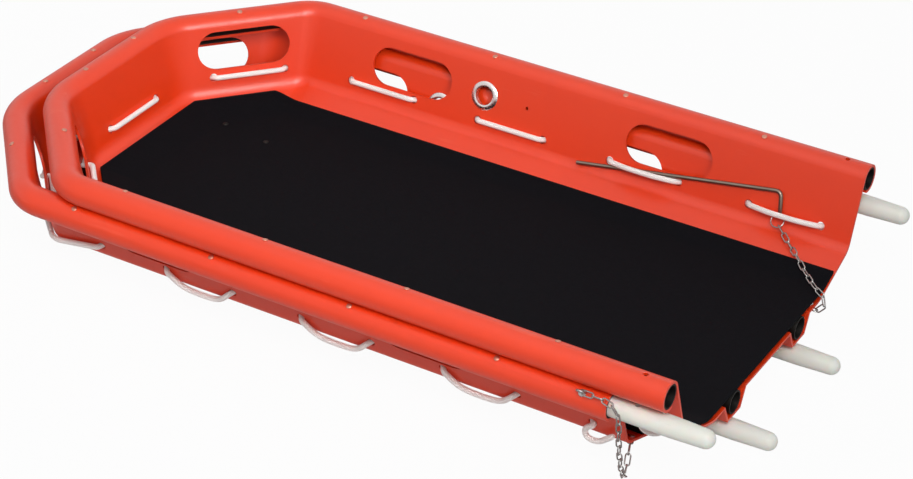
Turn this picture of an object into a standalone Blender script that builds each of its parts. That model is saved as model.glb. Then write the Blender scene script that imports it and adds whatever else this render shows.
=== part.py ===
"""Two-piece basket stretcher, stowed with its upper half nested in its lower half.

Each half is a moulded polyethylene shell on a bent gunwale tube and two runner tubes.
The lower half carries the nylon spigots, and the upper half holds the sockets for them.
A half is modelled in its own frame: x = 0 at the joint end, the closed end at -x,
y = 0 on the centre line and z = 0 under the runners. The part's own origin is on the
ground under the middle of the nested set, with +X to the joint end and +Z up.
"""

import math

import bmesh
import bpy
import numpy as np
from mathutils import Matrix, Vector

# Driving sizes, in metres.
HALF_LENGTH = 1.083       # joint end to the gunwale tube's centre at the closed end
GUNWALE_SPAN = 0.616      # between the two gunwale tubes' centres
GUNWALE_HEIGHT = 0.154    # ground to the gunwale tube's centre
CHAMFER_START = 0.924     # joint end to where the long side turns into the chamfer
END_WIDTH = 0.260         # between the corners of the closed end, at the tube's centre
SIDE_CORNER_RADIUS = 0.060
END_CORNER_RADIUS = 0.100
LEAST_CORNER_RADIUS = 0.030

SHELL_WALL = 0.0037
TUBE_RADIUS = 0.0168
TUBE_WALL = 0.0022
FIT_GAP = 0.0003          # clearance between pieces that touch
OVERRUN = 0.0040          # cutters run past the faces that they cut by this
JOINT_SPARE = 0.010       # a shell is made this much too long, then trimmed at its joint end

WALL_DRAFT = math.radians(19.5)
END_DRAFT = math.radians(14)  # of the chamfers and the closed end
BEND_HEIGHT = 0.065       # where the steep wall turns into the lower wall
END_BEND_HEIGHT = 0.058   # the same at the chamfers and the closed end
FLOOR_HEIGHT = 0.031      # inner face of the floor
FLOOR_HALF_WIDTH = 0.1675
END_FOOT = 0.121          # gunwale's centre to where the floor turns up at the closed end
BEND_REACH = 0.010        # length of each bend's tangents
END_BEND_REACH = 0.016
LIP_STEPS = 9             # of the tube's own facets, wrapped by the lip
TUBE_SIDES = 12
CORNER_STEPS = 3

RUNNER_SPACING = 0.2035   # between the runner tubes' centres
CHANNEL_TOP = 0.0615      # width of the runner channel in the floor's inner face
CHANNEL_BOTTOM = 0.0350
CHANNEL_LENGTH = 0.932
CHANNEL_END_SLOPE = 0.020
RUNNER_END_GAP = 0.004    # channel's closed end to the runner tube's end

MAT_THICKNESS = 0.0048
MAT_SIDE_EDGE = 0.096     # gunwale's centre to the mat's long edges
MAT_CHAMFER_EDGE = 0.056  # gunwale's centre to the mat's chamfered edges
MAT_BEND_EASE = 0.0040    # its flat starts this far inside the shell's bend
MAT_END_STEP = 0.008      # its closed-end edge lies this much further in
MAT_CORNER_RADIUS = 0.005
MAT_RUN_OUT = 0.040       # length over which a long edge comes down from the chamfer's slope
MAT_END_GAP = 0.001       # joint end to the mat's end

NEST_SHIFT = 0.0775       # the upper half's joint end lies this far beyond the lower's

HANDHOLD_LENGTH = 0.138
HANDHOLD_HEIGHT = 0.058
HANDHOLD_LEVEL = 0.121
HANDHOLDS_FROM_JOINT = (0.294, 0.7265)
CHAMFER_HANDHOLD_LENGTH = 0.1435
CHAMFER_HANDHOLD_LEVEL = 0.125

GROMMET_FROM_JOINT = 0.600
GROMMET_LEVEL = 0.121
GROMMET_BORE = 0.028
GROMMET_FLANGE = 0.044
GROMMET_METAL = 0.0012
GROMMET_ROLL = 0.0026     # height of its rolled flange
GROMMET_ROLL_FROM_BORE = 0.0022
GROMMET_EDGE_WIDTH = 0.0020
GROMMET_EDGE_DROP = 0.0008
SCREW_HOLE_FROM_JOINT = 0.528
SCREW_HOLE_DIAMETER = 0.005

ROPE_DIAMETER = 0.008
ROPE_HOLE_DIAMETER = 0.0125
ROPE_LEVEL = 0.085
ROPE_FIRST_HOLE = 0.047
ROPE_HOLE_PITCH = 0.1115
ROPE_SIDE_HOLES = 8
ROPE_SAG = 0.024
ROPE_CHAMFER_SHIFT = 0.005  # of the chamfer's stitch, towards the joint end
ROPE_STAND_OFF = 0.0049   # rope's centre from the shell's faces
ROPE_ARCH = 0.0090        # extra stand-off of a stitch that bows over the stowed rod
ROPE_LEAD = 0.0040        # the rope turns this far beside its hole's centre
CORNER_SAG = 0.018
ARCH_SHARES = (0.3, 0.7)  # where along its stitch an arch's points lie
LOOP_SHARES = (0.22, 0.5, 0.78)

# The rope's loose end outside its first hole: (from the joint end, below the hole, off the wall).
ROPE_END_CURL = (
    (0.0120, 0.0010, 0.0030),
    (0.0230, 0.0110, 0.0040),
    (0.0340, 0.0220, 0.0040),
    (0.0450, 0.0260, 0.0040),
    (0.0550, 0.0240, 0.0030),
    (0.0580, 0.0160, 0.0010),
    (0.0540, 0.0070, 0.0000),
)

RIVET_SHANK = 0.0040
RIVET_HEAD = 0.0080
RIVET_DOME = 0.0012
RIVET_TOP = 0.0044        # across the flat top of the dome
RIVET_TAIL = 0.0010       # inside the tube's bore
RIVETS_FROM_JOINT = (0.1605, 0.3815, 0.6000, 0.8280)
END_RIVET_OFFSET = 0.058
UPPER_RIVET_TILT = math.radians(-15)
LOWER_RIVET_TILT = math.radians(30)
END_RIVET_TILT = 0.0      # of both halves' rivets at the closed end

SPIGOT_REACH = 0.1415
SPIGOT_ROOT = 0.100
SPIGOT_TAPER = 0.060
SPIGOT_TIP_RADIUS = 0.0128
SPIGOT_CHAMFER = 0.0010

LOCK_FROM_JOINT = 0.035
LOCK_PIN_DIAMETER = 0.006
LOCK_HOLE_DIAMETER = 0.007
LOCK_PIN_TILT = math.radians(45)
LOCK_PIN_TAIL = 0.005
LOCK_PIN_EYE = 0.0055     # radius of the eye's wire circle
EYE_WIRE = 0.0028
EYE_ROOT = 0.0010         # the pin's end above its collar, inside the eye's wire
COLLAR_HEIGHT = 0.0025
COLLAR_RIM = 0.0020       # the collar stands this far beyond the pin

ROD_DIAMETER = 0.006
ROD_TIP_FROM_JOINT = 0.430
ROD_TIP_LEVEL = 0.0702
ROD_BEND_FROM_JOINT = 0.113
ROD_BEND_LEVEL = 0.1155
ROD_TIP_LIFT = 0.0020     # the tip stands off the wall's bend by this
ROD_BEND_RADIUS = 0.010
ROD_SHORT_LEG = 0.038
ROD_EYE_FROM_END = 0.0040
ROD_EYE_DIAMETER = 0.0038
ROD_RING_RADIUS = 0.0095
ROD_RING_WIRE = 0.0018
ROD_RING_LEAN = math.radians(45)

CHAIN_WIRE = 0.0020
CHAIN_LINK_LENGTH = 0.0185
CHAIN_LINK_WIDTH = 0.0088
CHAIN_BITE = 0.0003       # links bear on each other by this
CHAIN_PLAY = 0.0010       # between an end link and the piece it holds
CHAIN_LEAD = 0.012        # straight run into the lower anchor
PIN_CHAIN_LEAN = 0.45     # slope of that run against the shell's edge
ROD_CHAIN_LEAN = 0.8      # slope of the chain's pull on the rod's ring

ANCHOR_FROM_JOINT = 0.0080
LOWER_ANCHOR_INSET = 0.078  # gunwale's centre to the lower anchor
UPPER_ANCHOR_Y = 0.1500
ANCHOR_SHANK = 0.0036
ANCHOR_STAND_OFF = 0.0030
ANCHOR_HEAD = 0.0100
ANCHOR_CAP = 0.0022
ANCHOR_EDGE = 0.0010
ANCHOR_DOME = 0.0024

# Sizes that follow from them.
GUNWALE_Y = GUNWALE_SPAN / 2
LOWER_ANCHOR_Y = LOWER_ANCHOR_INSET - GUNWALE_Y
RIM_RADIUS = TUBE_RADIUS + FIT_GAP + SHELL_WALL
RUNNER_Y = RUNNER_SPACING / 2
RUNNER_HEIGHT = SHELL_WALL + FIT_GAP + TUBE_RADIUS
MAT_BASE = RUNNER_HEIGHT + TUBE_RADIUS + FIT_GAP
NEST_RISE = MAT_BASE + MAT_THICKNESS + FIT_GAP
TUBE_BORE = TUBE_RADIUS - TUBE_WALL
SPIGOT_RADIUS = TUBE_BORE - FIT_GAP
GROMMET_HOLE = GROMMET_BORE + 2 * (GROMMET_METAL + FIT_GAP)
LIP_TURN = 2 * math.pi / TUBE_SIDES
ORIGIN_SHIFT = (HALF_LENGTH + RIM_RADIUS - SPIGOT_REACH) / 2
LOWER = Vector((ORIGIN_SHIFT, 0, 0))
UPPER = Vector((ORIGIN_SHIFT + NEST_SHIFT, 0, NEST_RISE))

# The pin's chain: (from the joint end, outwards from the gunwale's centre, height).
PIN_CHAIN_ROUTE = (
    (-0.0100, 0.0225, 0.1755),
    (0.0060, 0.0245, 0.1755),
    (0.0180, 0.0250, 0.1660),
    (0.0205, 0.0220, 0.1480),
    (0.0190, 0.0160, 0.1220),
    (0.0165, 0.0070, 0.0940),
    (0.0140, -0.0050, 0.0640),
    (0.0115, -0.0180, 0.0390),
    (0.0085, -0.0300, 0.0280),
    (0.0055, -0.0410, 0.0340),
)
# The rod's chain: (from the joint end, share of the way from its anchor to the gunwale, height).
ROD_CHAIN_ROUTE = (
    (-0.0760, 0.481, 0.0630),
    (-0.0560, 0.364, 0.0605),
    (-0.0350, 0.241, 0.0540),
    (-0.0060, 0.076, 0.0500),
    (0.0110, 0.028, 0.0435),
    (0.0125, 0.009, 0.0320),
    (0.0050, 0.000, 0.0237),
)

ORANGE = (0.78, 0.055, 0.012)
RUBBER = (0.012, 0.012, 0.014)
STEEL = (0.42, 0.42, 0.43)
NYLON = (0.78, 0.80, 0.76)
CORD = (0.86, 0.80, 0.76)
DARK_STEEL = (0.20, 0.19, 0.18)


def clear_scene():
    for obj in list(bpy.data.objects):
        bpy.data.objects.remove(obj)


def material(name, colour, roughness, metallic=0.0):
    made = bpy.data.materials.get(name) or bpy.data.materials.new(name)
    made.use_nodes = True
    shader = made.node_tree.nodes["Principled BSDF"]
    shader.inputs["Base Color"].default_value = (*colour, 1)
    shader.inputs["Roughness"].default_value = roughness
    shader.inputs["Metallic"].default_value = metallic
    return made


def add_object(name, mesh, place=(0, 0, 0), finish=None):
    obj = bpy.data.objects.new(name, mesh)
    obj.location = place
    bpy.context.scene.collection.objects.link(obj)
    if finish:
        mesh.materials.append(finish)
    return obj


def add_bmesh(name, bm, place=(0, 0, 0), finish=None, smooth=True):
    bmesh.ops.remove_doubles(bm, verts=bm.verts, dist=1e-6)
    bmesh.ops.recalc_face_normals(bm, faces=bm.faces)
    mesh = bpy.data.meshes.new(name)
    bm.to_mesh(mesh)
    bm.free()
    if smooth:
        mesh.shade_smooth()
        mesh.set_sharp_from_angle(angle=math.radians(35))
    return add_object(name, mesh, place, finish)


def add_cutter(name, bm, place):
    cutter = add_bmesh(name, bm, place, smooth=False)
    cutter.hide_render = True
    cutter.display_type = "WIRE"
    return cutter


def boolean(obj, other, operation):
    step = obj.modifiers.new(other.name, "BOOLEAN")
    step.operation = operation
    step.object = other
    step.solver = "EXACT"


def bezier_corner(before, corner, after, steps):
    """Points of the rounded corner between two tangent points."""
    points = []
    for i in range(steps + 1):
        t = i / steps
        points.append(tuple(
            (1 - t) ** 2 * a + 2 * t * (1 - t) * b + t * t * c
            for a, b, c in zip(before, corner, after)
        ))
    return points


def step_from(point, towards, distance):
    gap = (towards[0] - point[0], towards[1] - point[1])
    length = math.hypot(*gap)
    return (point[0] + gap[0] / length * distance, point[1] + gap[1] / length * distance)


def wall_inset(height, draft):
    """How far a steep wall's inner face lies inside the gunwale's centre at a height."""
    tangent_inset = RIM_RADIUS * math.cos(draft)
    tangent_height = GUNWALE_HEIGHT + RIM_RADIUS * math.sin(draft)
    return tangent_inset + (tangent_height - height) * math.tan(draft)


def wall_sections():
    """The shell's inner face as (inset, height) points, down a long side and down an end."""
    lip = []
    for i in range(LIP_STEPS + 1):
        angle = WALL_DRAFT + LIP_TURN * (LIP_STEPS - i)
        lip.append((
            RIM_RADIUS * math.cos(angle),
            GUNWALE_HEIGHT + RIM_RADIUS * math.sin(angle),
        ))
    bend = (wall_inset(BEND_HEIGHT, WALL_DRAFT), BEND_HEIGHT)
    foot = (GUNWALE_Y - FLOOR_HALF_WIDTH, FLOOR_HEIGHT)
    end_bend = (wall_inset(END_BEND_HEIGHT, END_DRAFT), END_BEND_HEIGHT)
    end_foot = (END_FOOT, FLOOR_HEIGHT)
    deck = (GUNWALE_Y, FLOOR_HEIGHT)
    top_of_bend = step_from(bend, lip[-1], BEND_REACH)
    side = lip + bezier_corner(top_of_bend, bend, step_from(bend, foot, BEND_REACH), 2)
    side += bezier_corner(
        step_from(foot, bend, BEND_REACH), foot, step_from(foot, deck, BEND_REACH), 2
    )
    top_of_end_bend = step_from(end_bend, lip[-1], END_BEND_REACH)
    end = lip + bezier_corner(
        top_of_end_bend, end_bend, step_from(end_bend, end_foot, BEND_REACH), 2
    )
    end += bezier_corner(
        step_from(end_foot, end_bend, END_BEND_REACH),
        end_foot,
        step_from(end_foot, deck, END_BEND_REACH),
        2,
    )
    return side, end


def offset_section(points, distance):
    """The same section moved along its normal, to the shell's outer side."""
    moved = []
    for i, point in enumerate(points):
        before = points[max(i - 1, 0)]
        after = points[min(i + 1, len(points) - 1)]
        if i == len(points) - 1:
            before = (after[0] - 1, after[1])
        run = (after[0] - before[0], after[1] - before[1])
        length = math.hypot(*run)
        normal = (run[1] / length, -run[0] / length)
        moved.append((point[0] + normal[0] * distance, point[1] + normal[1] * distance))
    return moved


def meet(point, along, other, other_along):
    """Where two lines in plan cross."""
    cross = along[0] * other_along[1] - along[1] * other_along[0]
    gap = (other[0] - point[0], other[1] - point[1])
    t = (gap[0] * other_along[1] - gap[1] * other_along[0]) / cross
    return (point[0] + along[0] * t, point[1] + along[1] * t)


def chamfer_frame():
    """A point on the far chamfer's centre line, its direction towards the joint end, its inward normal."""
    corner = (-HALF_LENGTH, END_WIDTH / 2)
    run = (HALF_LENGTH - CHAMFER_START, GUNWALE_Y - END_WIDTH / 2)
    length = math.hypot(*run)
    along = (run[0] / length, run[1] / length)
    return corner, along, (along[1], -along[0])


def corner_arc(before, corner, after, radius):
    """A rounded corner as CORNER_STEPS + 1 points on its arc."""
    to_before = Vector(before) - Vector(corner)
    to_after = Vector(after) - Vector(corner)
    half = to_before.angle(to_after) / 2
    reach = radius / math.tan(half)
    centre = Vector(corner) + (to_before.normalized() + to_after.normalized()).normalized() * (
        radius / math.sin(half)
    )
    start = Vector(corner) + to_before.normalized() * reach - centre
    finish = Vector(corner) + to_after.normalized() * reach - centre
    turn = start.angle_signed(finish)
    points = []
    for i in range(CORNER_STEPS + 1):
        points.append(centre + start @ Matrix.Rotation(turn * i / CORNER_STEPS, 2))
    return [(point.x, point.y) for point in points]


def plan_ring(side_point, end_point, joint_x, corner_radius=None, end_step=0, run_out=0):
    """One level of the shell as 3-D points, from the near joint end round to the far one.

    end_point gives the chamfers' inset, and the closed end lies end_step further in.
    With a run_out, the end's level is kept round the side corner and falls along the side.
    """
    corner, along, inward = chamfer_frame()
    side_y = GUNWALE_Y - side_point[0]
    end_x = -HALF_LENGTH + end_point[0] + end_step
    chamfer = (corner[0] + inward[0] * end_point[0], corner[1] + inward[1] * end_point[0])
    side_corner = meet(chamfer, along, (0, side_y), (1, 0))
    end_corner = meet(chamfer, along, (end_x, 0), (0, 1))
    side_radius = corner_radius or max(SIDE_CORNER_RADIUS - end_point[0], LEAST_CORNER_RADIUS)
    end_radius = corner_radius or max(END_CORNER_RADIUS - end_point[0], LEAST_CORNER_RADIUS)
    far = corner_arc((end_x, 0), end_corner, side_corner, end_radius)
    heights = [end_point[1]] * len(far)
    bend = corner_arc(end_corner, side_corner, (joint_x, side_y), side_radius)
    bend[-1] = (bend[-1][0] + run_out, bend[-1][1])
    for i, point in enumerate(bend):
        share = i // CORNER_STEPS if run_out else i / CORNER_STEPS
        far.append(point)
        heights.append(end_point[1] + (side_point[1] - end_point[1]) * share)
    far.append((joint_x, side_y))
    heights.append(side_point[1])
    points = [Vector((x, y, z)) for (x, y), z in zip(far, heights)]
    return [Vector((p.x, -p.y, p.z)) for p in reversed(points)] + points


def bridge(bm, rows):
    """Quads between rows of vertices that all have the same count."""
    for low, high in zip(rows, rows[1:]):
        for i in range(len(low) - 1):
            bm.faces.new((low[i], low[i + 1], high[i + 1], high[i]))


def tray(bm, upper_levels, lower_levels, joint_x, corner_radius=None, end_step=0, run_out=0):
    """A closed tray between an upper and a lower face, each given as (side, end) levels."""
    faces = []
    for levels in (upper_levels, lower_levels):
        rows = []
        for side_point, end_point in levels:
            ring = plan_ring(side_point, end_point, joint_x, corner_radius, end_step, run_out)
            rows.append([bm.verts.new(p) for p in ring])
        bridge(bm, rows)
        bm.faces.new(rows[-1])
        faces.append(rows)
    upper, lower = faces
    bridge(bm, [upper[0], lower[0]])
    for i in range(len(upper) - 1):
        bm.faces.new((upper[i][0], upper[i + 1][0], lower[i + 1][0], lower[i][0]))
        bm.faces.new((upper[i][-1], upper[i + 1][-1], lower[i + 1][-1], lower[i][-1]))
    bm.faces.new((upper[-1][0], upper[-1][-1], lower[-1][-1], lower[-1][0]))


def add_prism(bm, sections):
    """A closed solid through like sections, each a list of 3-D points."""
    rows = [[bm.verts.new(p) for p in section] for section in sections]
    for low, high in zip(rows, rows[1:]):
        for i in range(len(low)):
            j = (i + 1) % len(low)
            bm.faces.new((low[i], low[j], high[j], high[i]))
    bm.faces.new(rows[0])
    bm.faces.new(rows[-1])


def add_box(bm, low, high):
    corners = [(low[0], low[1]), (high[0], low[1]), (high[0], high[1]), (low[0], high[1])]
    add_prism(bm, [[(x, y, low[2]) for x, y in corners], [(x, y, high[2]) for x, y in corners]])


def add_rod(bm, start, finish, radius, sides):
    """A closed cylinder between two points."""
    start = Vector(start)
    finish = Vector(finish)
    turn = (finish - start).to_track_quat("Z", "Y")
    ring = []
    for i in range(sides):
        angle = 2 * math.pi * (i + 0.5) / sides
        ring.append(turn @ Vector((radius * math.cos(angle), radius * math.sin(angle), 0)))
    add_prism(bm, [[start + p for p in ring], [finish + p for p in ring]])


def wall_point(place, side, level, depth):
    """A point on a wall: depth is measured from the inner face, along its normal, into the basket.

    place is ("long", distance from the joint end), ("chamfer", along from its middle)
    or ("end", y). side is -1 for the near side and +1 for the far one.
    """
    kind, where = place
    draft = WALL_DRAFT if kind == "long" else END_DRAFT
    inset = wall_inset(level, draft) + depth * math.cos(draft)
    z = level + depth * math.sin(draft)
    if kind == "long":
        return Vector((-where, side * (GUNWALE_Y - inset), z))
    if kind == "end":
        return Vector((-HALF_LENGTH + inset, where, z))
    corner, along, inward = chamfer_frame()
    middle = math.hypot(HALF_LENGTH - CHAMFER_START, GUNWALE_Y - END_WIDTH / 2) / 2
    x = corner[0] + along[0] * (middle + where) + inward[0] * inset
    y = corner[1] + along[1] * (middle + where) + inward[1] * inset
    return Vector((x, side * y, z))


def wall_axes(place, side, level):
    """The wall's own directions there: along it, up it and out of its inner face."""
    out = (wall_point(place, side, level, 0.01) - wall_point(place, side, level, 0)).normalized()
    up = (wall_point(place, side, level + 0.01, 0) - wall_point(place, side, level, 0)).normalized()
    return up.cross(out), up, out


def add_slot_cutter(bm, place, side, level, length, height):
    """A long round-ended hole through a wall."""
    along, up, out = wall_axes(place, side, level)
    middle = wall_point(place, side, level, 0)
    radius = height / 2
    reach = (length - height) / 2
    outline = []
    for end in (1, -1):
        for i in range(9):
            angle = math.pi * (i / 8 - 0.5)
            outline.append(
                along * (end * (reach + radius * math.cos(angle)))
                + up * (end * radius * math.sin(angle))
            )
    add_prism(bm, [
        [middle + p - out * (OVERRUN + SHELL_WALL) for p in outline],
        [middle + p + out * OVERRUN for p in outline],
    ])


def add_wall_hole(bm, place, side, level, diameter, sides):
    add_rod(
        bm,
        wall_point(place, side, level, -SHELL_WALL - OVERRUN),
        wall_point(place, side, level, OVERRUN),
        diameter / 2,
        sides,
    )


def rope_holes():
    """Every rope hole of a half in the rope's order, as (place, side, level)."""
    reach = ROPE_HOLE_PITCH / 2
    near = []
    for i in range(ROPE_SIDE_HOLES):
        near.append((("long", ROPE_FIRST_HOLE + i * ROPE_HOLE_PITCH), -1, ROPE_LEVEL))
    near.append((("chamfer", ROPE_CHAMFER_SHIFT + reach), -1, ROPE_LEVEL))
    near.append((("chamfer", ROPE_CHAMFER_SHIFT - reach), -1, ROPE_LEVEL))
    near.append((("end", -reach), -1, ROPE_LEVEL))
    far = []
    for (kind, where), side, level in reversed(near):
        far.append(((kind, -where if kind == "end" else where), 1, level))
    return near + far


def rim_point(place, side, tilt, radius):
    """A point round the gunwale tube: tilt is measured from straight up, outwards."""
    kind, where = place
    outward = radius * math.sin(tilt)
    z = GUNWALE_HEIGHT + radius * math.cos(tilt)
    if kind == "long":
        return Vector((-where, side * (GUNWALE_Y + outward), z))
    if kind == "end":
        return Vector((-HALF_LENGTH - outward, where, z))
    corner, along, inward = chamfer_frame()
    middle = math.hypot(HALF_LENGTH - CHAMFER_START, GUNWALE_Y - END_WIDTH / 2) / 2
    x = corner[0] + along[0] * (middle + where) - inward[0] * outward
    y = corner[1] + along[1] * (middle + where) - inward[1] * outward
    return Vector((x, side * y, z))


def rivet_places(male):
    """Where a half's lip is riveted to its gunwale tube, as (name, place, side, tilt)."""
    tilt = LOWER_RIVET_TILT if male else UPPER_RIVET_TILT
    places = []
    for side, word in ((-1, "near"), (1, "far")):
        for i, where in enumerate(RIVETS_FROM_JOINT):
            places.append((f"{word}_{i + 1}", ("long", where), side, tilt))
        places.append((f"{word}_chamfer", ("chamfer", 0.0), side, tilt))
        places.append((f"{word}_end", ("end", side * END_RIVET_OFFSET), side, END_RIVET_TILT))
    return places


def bridge_round(bm, rows):
    """Quads between rows of vertices, each row joined to the next and the last to the first."""
    for low, high in zip(rows, rows[1:] + rows[:1]):
        for i in range(len(low) - 1):
            bm.faces.new((low[i], low[i + 1], high[i + 1], high[i]))


def add_annulus(bm, outer, inner):
    """A ring of quads between two closed loops of the same count."""
    count = len(outer)
    for i in range(count):
        j = (i + 1) % count
        bm.faces.new((outer[i], outer[j], inner[j], inner[i]))


def tube_angles():
    return [WALL_DRAFT + LIP_TURN * k for k in range(TUBE_SIDES)]


def add_gunwale_tube(bm):
    """The bent tube: its facets run parallel to the lip that wraps it."""
    skins = []
    for radius in (TUBE_RADIUS, TUBE_BORE):
        rows = []
        for angle in tube_angles():
            point = (radius * math.cos(angle), GUNWALE_HEIGHT + radius * math.sin(angle))
            rows.append([bm.verts.new(p) for p in plan_ring(point, point, -FIT_GAP)])
        bridge_round(bm, rows)
        skins.append(rows)
    for end in (0, -1):
        add_annulus(bm, [row[end] for row in skins[0]], [row[end] for row in skins[1]])


def add_straight_tube(bm, start_x, end_x, y, z):
    skins = []
    for radius in (TUBE_RADIUS, TUBE_BORE):
        ring = [(radius * math.cos(a), radius * math.sin(a)) for a in tube_angles()]
        skins.append([
            [bm.verts.new((x, y + across, z + up)) for across, up in ring] for x in (start_x, end_x)
        ])
    for rows in skins:
        add_annulus(bm, rows[0], rows[1])
    for end in (0, 1):
        add_annulus(bm, skins[0][end], skins[1][end])


def channel_section(x, side, wall, top):
    """The runner channel's trapezium at x; wall widens it to the channel's outer faces."""
    slope = (CHANNEL_TOP - CHANNEL_BOTTOM) / 2 / (FLOOR_HEIGHT - SHELL_WALL)
    widen = wall * math.hypot(1, slope)
    low = SHELL_WALL - wall
    half_low = CHANNEL_BOTTOM / 2 + (low - SHELL_WALL) * slope + widen
    half_high = CHANNEL_BOTTOM / 2 + (top - SHELL_WALL) * slope + widen
    middle = side * RUNNER_Y
    return [
        (x, middle - half_low, low),
        (x, middle + half_low, low),
        (x, middle + half_high, top),
        (x, middle - half_high, top),
    ]


def add_channel(bm, side, wall, top, joint_x):
    rise = (top - SHELL_WALL + wall) / (FLOOR_HEIGHT - SHELL_WALL) * CHANNEL_END_SLOPE
    end = channel_section(-CHANNEL_LENGTH - wall, side, wall, top)
    closed = [end[0], end[1], (end[2][0] - rise, *end[2][1:]), (end[3][0] - rise, *end[3][1:])]
    add_prism(bm, [closed, channel_section(joint_x, side, wall, top)])


def build_shell(name, place, finish, male):
    """One half's moulded shell, with its channels, handholds and holes."""
    side, end = wall_sections()
    bm = bmesh.new()
    levels = list(zip(side, end))
    outer = list(zip(offset_section(side, SHELL_WALL), offset_section(end, SHELL_WALL)))
    tray(bm, levels, outer, JOINT_SPARE)
    shell = add_bmesh(name, bm, place, finish)

    bm = bmesh.new()
    for y_side in (-1, 1):
        add_channel(bm, y_side, SHELL_WALL, FLOOR_HEIGHT - SHELL_WALL / 2, JOINT_SPARE / 2)
    boolean(shell, add_cutter(f"{name}_channels", bm, place), "UNION")
    bm = bmesh.new()
    for y_side in (-1, 1):
        add_channel(bm, y_side, 0, FLOOR_HEIGHT + OVERRUN, 2 * JOINT_SPARE)
    boolean(shell, add_cutter(f"{name}_channel_rooms", bm, place), "DIFFERENCE")
    bm = bmesh.new()
    add_box(
        bm,
        (0, -GUNWALE_SPAN, -JOINT_SPARE),
        (3 * JOINT_SPARE, GUNWALE_SPAN, 2 * GUNWALE_HEIGHT),
    )
    boolean(shell, add_cutter(f"{name}_joint_trim", bm, place), "DIFFERENCE")

    bm = bmesh.new()
    for y_side in (-1, 1):
        for where in HANDHOLDS_FROM_JOINT:
            add_slot_cutter(
                bm, ("long", where), y_side, HANDHOLD_LEVEL, HANDHOLD_LENGTH, HANDHOLD_HEIGHT
            )
        add_slot_cutter(
            bm,
            ("chamfer", 0.0),
            y_side,
            CHAMFER_HANDHOLD_LEVEL,
            CHAMFER_HANDHOLD_LENGTH,
            HANDHOLD_HEIGHT,
        )
        add_wall_hole(
            bm, ("long", GROMMET_FROM_JOINT), y_side, GROMMET_LEVEL, GROMMET_HOLE, 12
        )
        add_wall_hole(
            bm, ("long", SCREW_HOLE_FROM_JOINT), y_side, GROMMET_LEVEL, SCREW_HOLE_DIAMETER, 6
        )
    for hole_place, y_side, level in rope_holes():
        add_wall_hole(bm, hole_place, y_side, level, ROPE_HOLE_DIAMETER, 6)
    for _, rivet_place, y_side, tilt in rivet_places(male):
        add_rod(
            bm,
            rim_point(rivet_place, y_side, tilt, TUBE_BORE),
            rim_point(rivet_place, y_side, tilt, RIM_RADIUS + OVERRUN),
            RIVET_SHANK / 2 + FIT_GAP,
            6,
        )
    add_lock_holes(bm, male)
    seat, out = anchor_frame(male)
    anchor_radius = ANCHOR_SHANK / 2 + FIT_GAP
    add_rod(bm, seat - out * OVERRUN, seat + out * (SHELL_WALL + OVERRUN), anchor_radius, 8)
    boolean(shell, add_cutter(f"{name}_holes", bm, place), "DIFFERENCE")
    return shell


def add_lock_holes(bm, male):
    """The gunwale's lock holes and, on the upper half, the rod's cross holes in the channels."""
    place = ("long", LOCK_FROM_JOINT)
    tilt = LOCK_PIN_TILT if male else 0.0
    reach = RIM_RADIUS + OVERRUN
    for y_side in (-1, 1):
        add_rod(
            bm,
            rim_point(place, y_side, tilt, -reach),
            rim_point(place, y_side, tilt, reach),
            LOCK_HOLE_DIAMETER / 2,
            8,
        )
    if not male:
        add_cross_hole(bm, -LOCK_FROM_JOINT)


def add_cross_hole(bm, x):
    """The locking rod's hole across both runners."""
    reach = RUNNER_Y + CHANNEL_TOP
    add_rod(bm, (x, -reach, RUNNER_HEIGHT), (x, reach, RUNNER_HEIGHT), LOCK_HOLE_DIAMETER / 2, 8)


def mat_bend(section, edge):
    """The underside of the mat's turned-up rim: its edge, and where it leaves the flat."""
    high, low = section[-4], section[-3]
    slope = (high[1] - low[1]) / (low[0] - high[0])
    edge_height = low[1] + (low[0] - edge) * slope + 2 * FIT_GAP
    flat_from = low[0] + (low[1] - MAT_BASE) / slope + MAT_BEND_EASE
    return (edge, edge_height), (flat_from, MAT_BASE)


def build_mat(name, place, finish):
    """The floor mat: flat over the runner tubes, turned up against the walls."""
    side, end = wall_sections()
    side_edge, side_flat = mat_bend(side, MAT_SIDE_EDGE)
    end_edge, end_flat = mat_bend(end, MAT_CHAMFER_EDGE)
    bottom = [(side_edge, end_edge), (side_flat, end_flat)]
    top = []
    for side_point, end_point in bottom:
        top.append((
            (side_point[0], side_point[1] + MAT_THICKNESS),
            (end_point[0], end_point[1] + MAT_THICKNESS),
        ))
    bm = bmesh.new()
    tray(bm, top, bottom, -MAT_END_GAP, MAT_CORNER_RADIUS, MAT_END_STEP, MAT_RUN_OUT)
    return add_bmesh(name, bm, place, finish)


def build_gunwale_tube(name, place, finish, male):
    bm = bmesh.new()
    add_gunwale_tube(bm)
    tube = add_bmesh(name, bm, place, finish)
    bm = bmesh.new()
    for _, rivet_place, y_side, tilt in rivet_places(male):
        add_rod(
            bm,
            rim_point(rivet_place, y_side, tilt, TUBE_BORE - OVERRUN),
            rim_point(rivet_place, y_side, tilt, TUBE_RADIUS + OVERRUN),
            RIVET_SHANK / 2 + FIT_GAP,
            6,
        )
    lock_place = ("long", LOCK_FROM_JOINT)
    tilt = LOCK_PIN_TILT if male else 0.0
    for y_side in (-1, 1):
        add_rod(
            bm,
            rim_point(lock_place, y_side, tilt, -TUBE_RADIUS - OVERRUN),
            rim_point(lock_place, y_side, tilt, TUBE_RADIUS + OVERRUN),
            LOCK_HOLE_DIAMETER / 2,
            8,
        )
    boolean(tube, add_cutter(f"{name}_holes", bm, place), "DIFFERENCE")
    return tube


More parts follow.
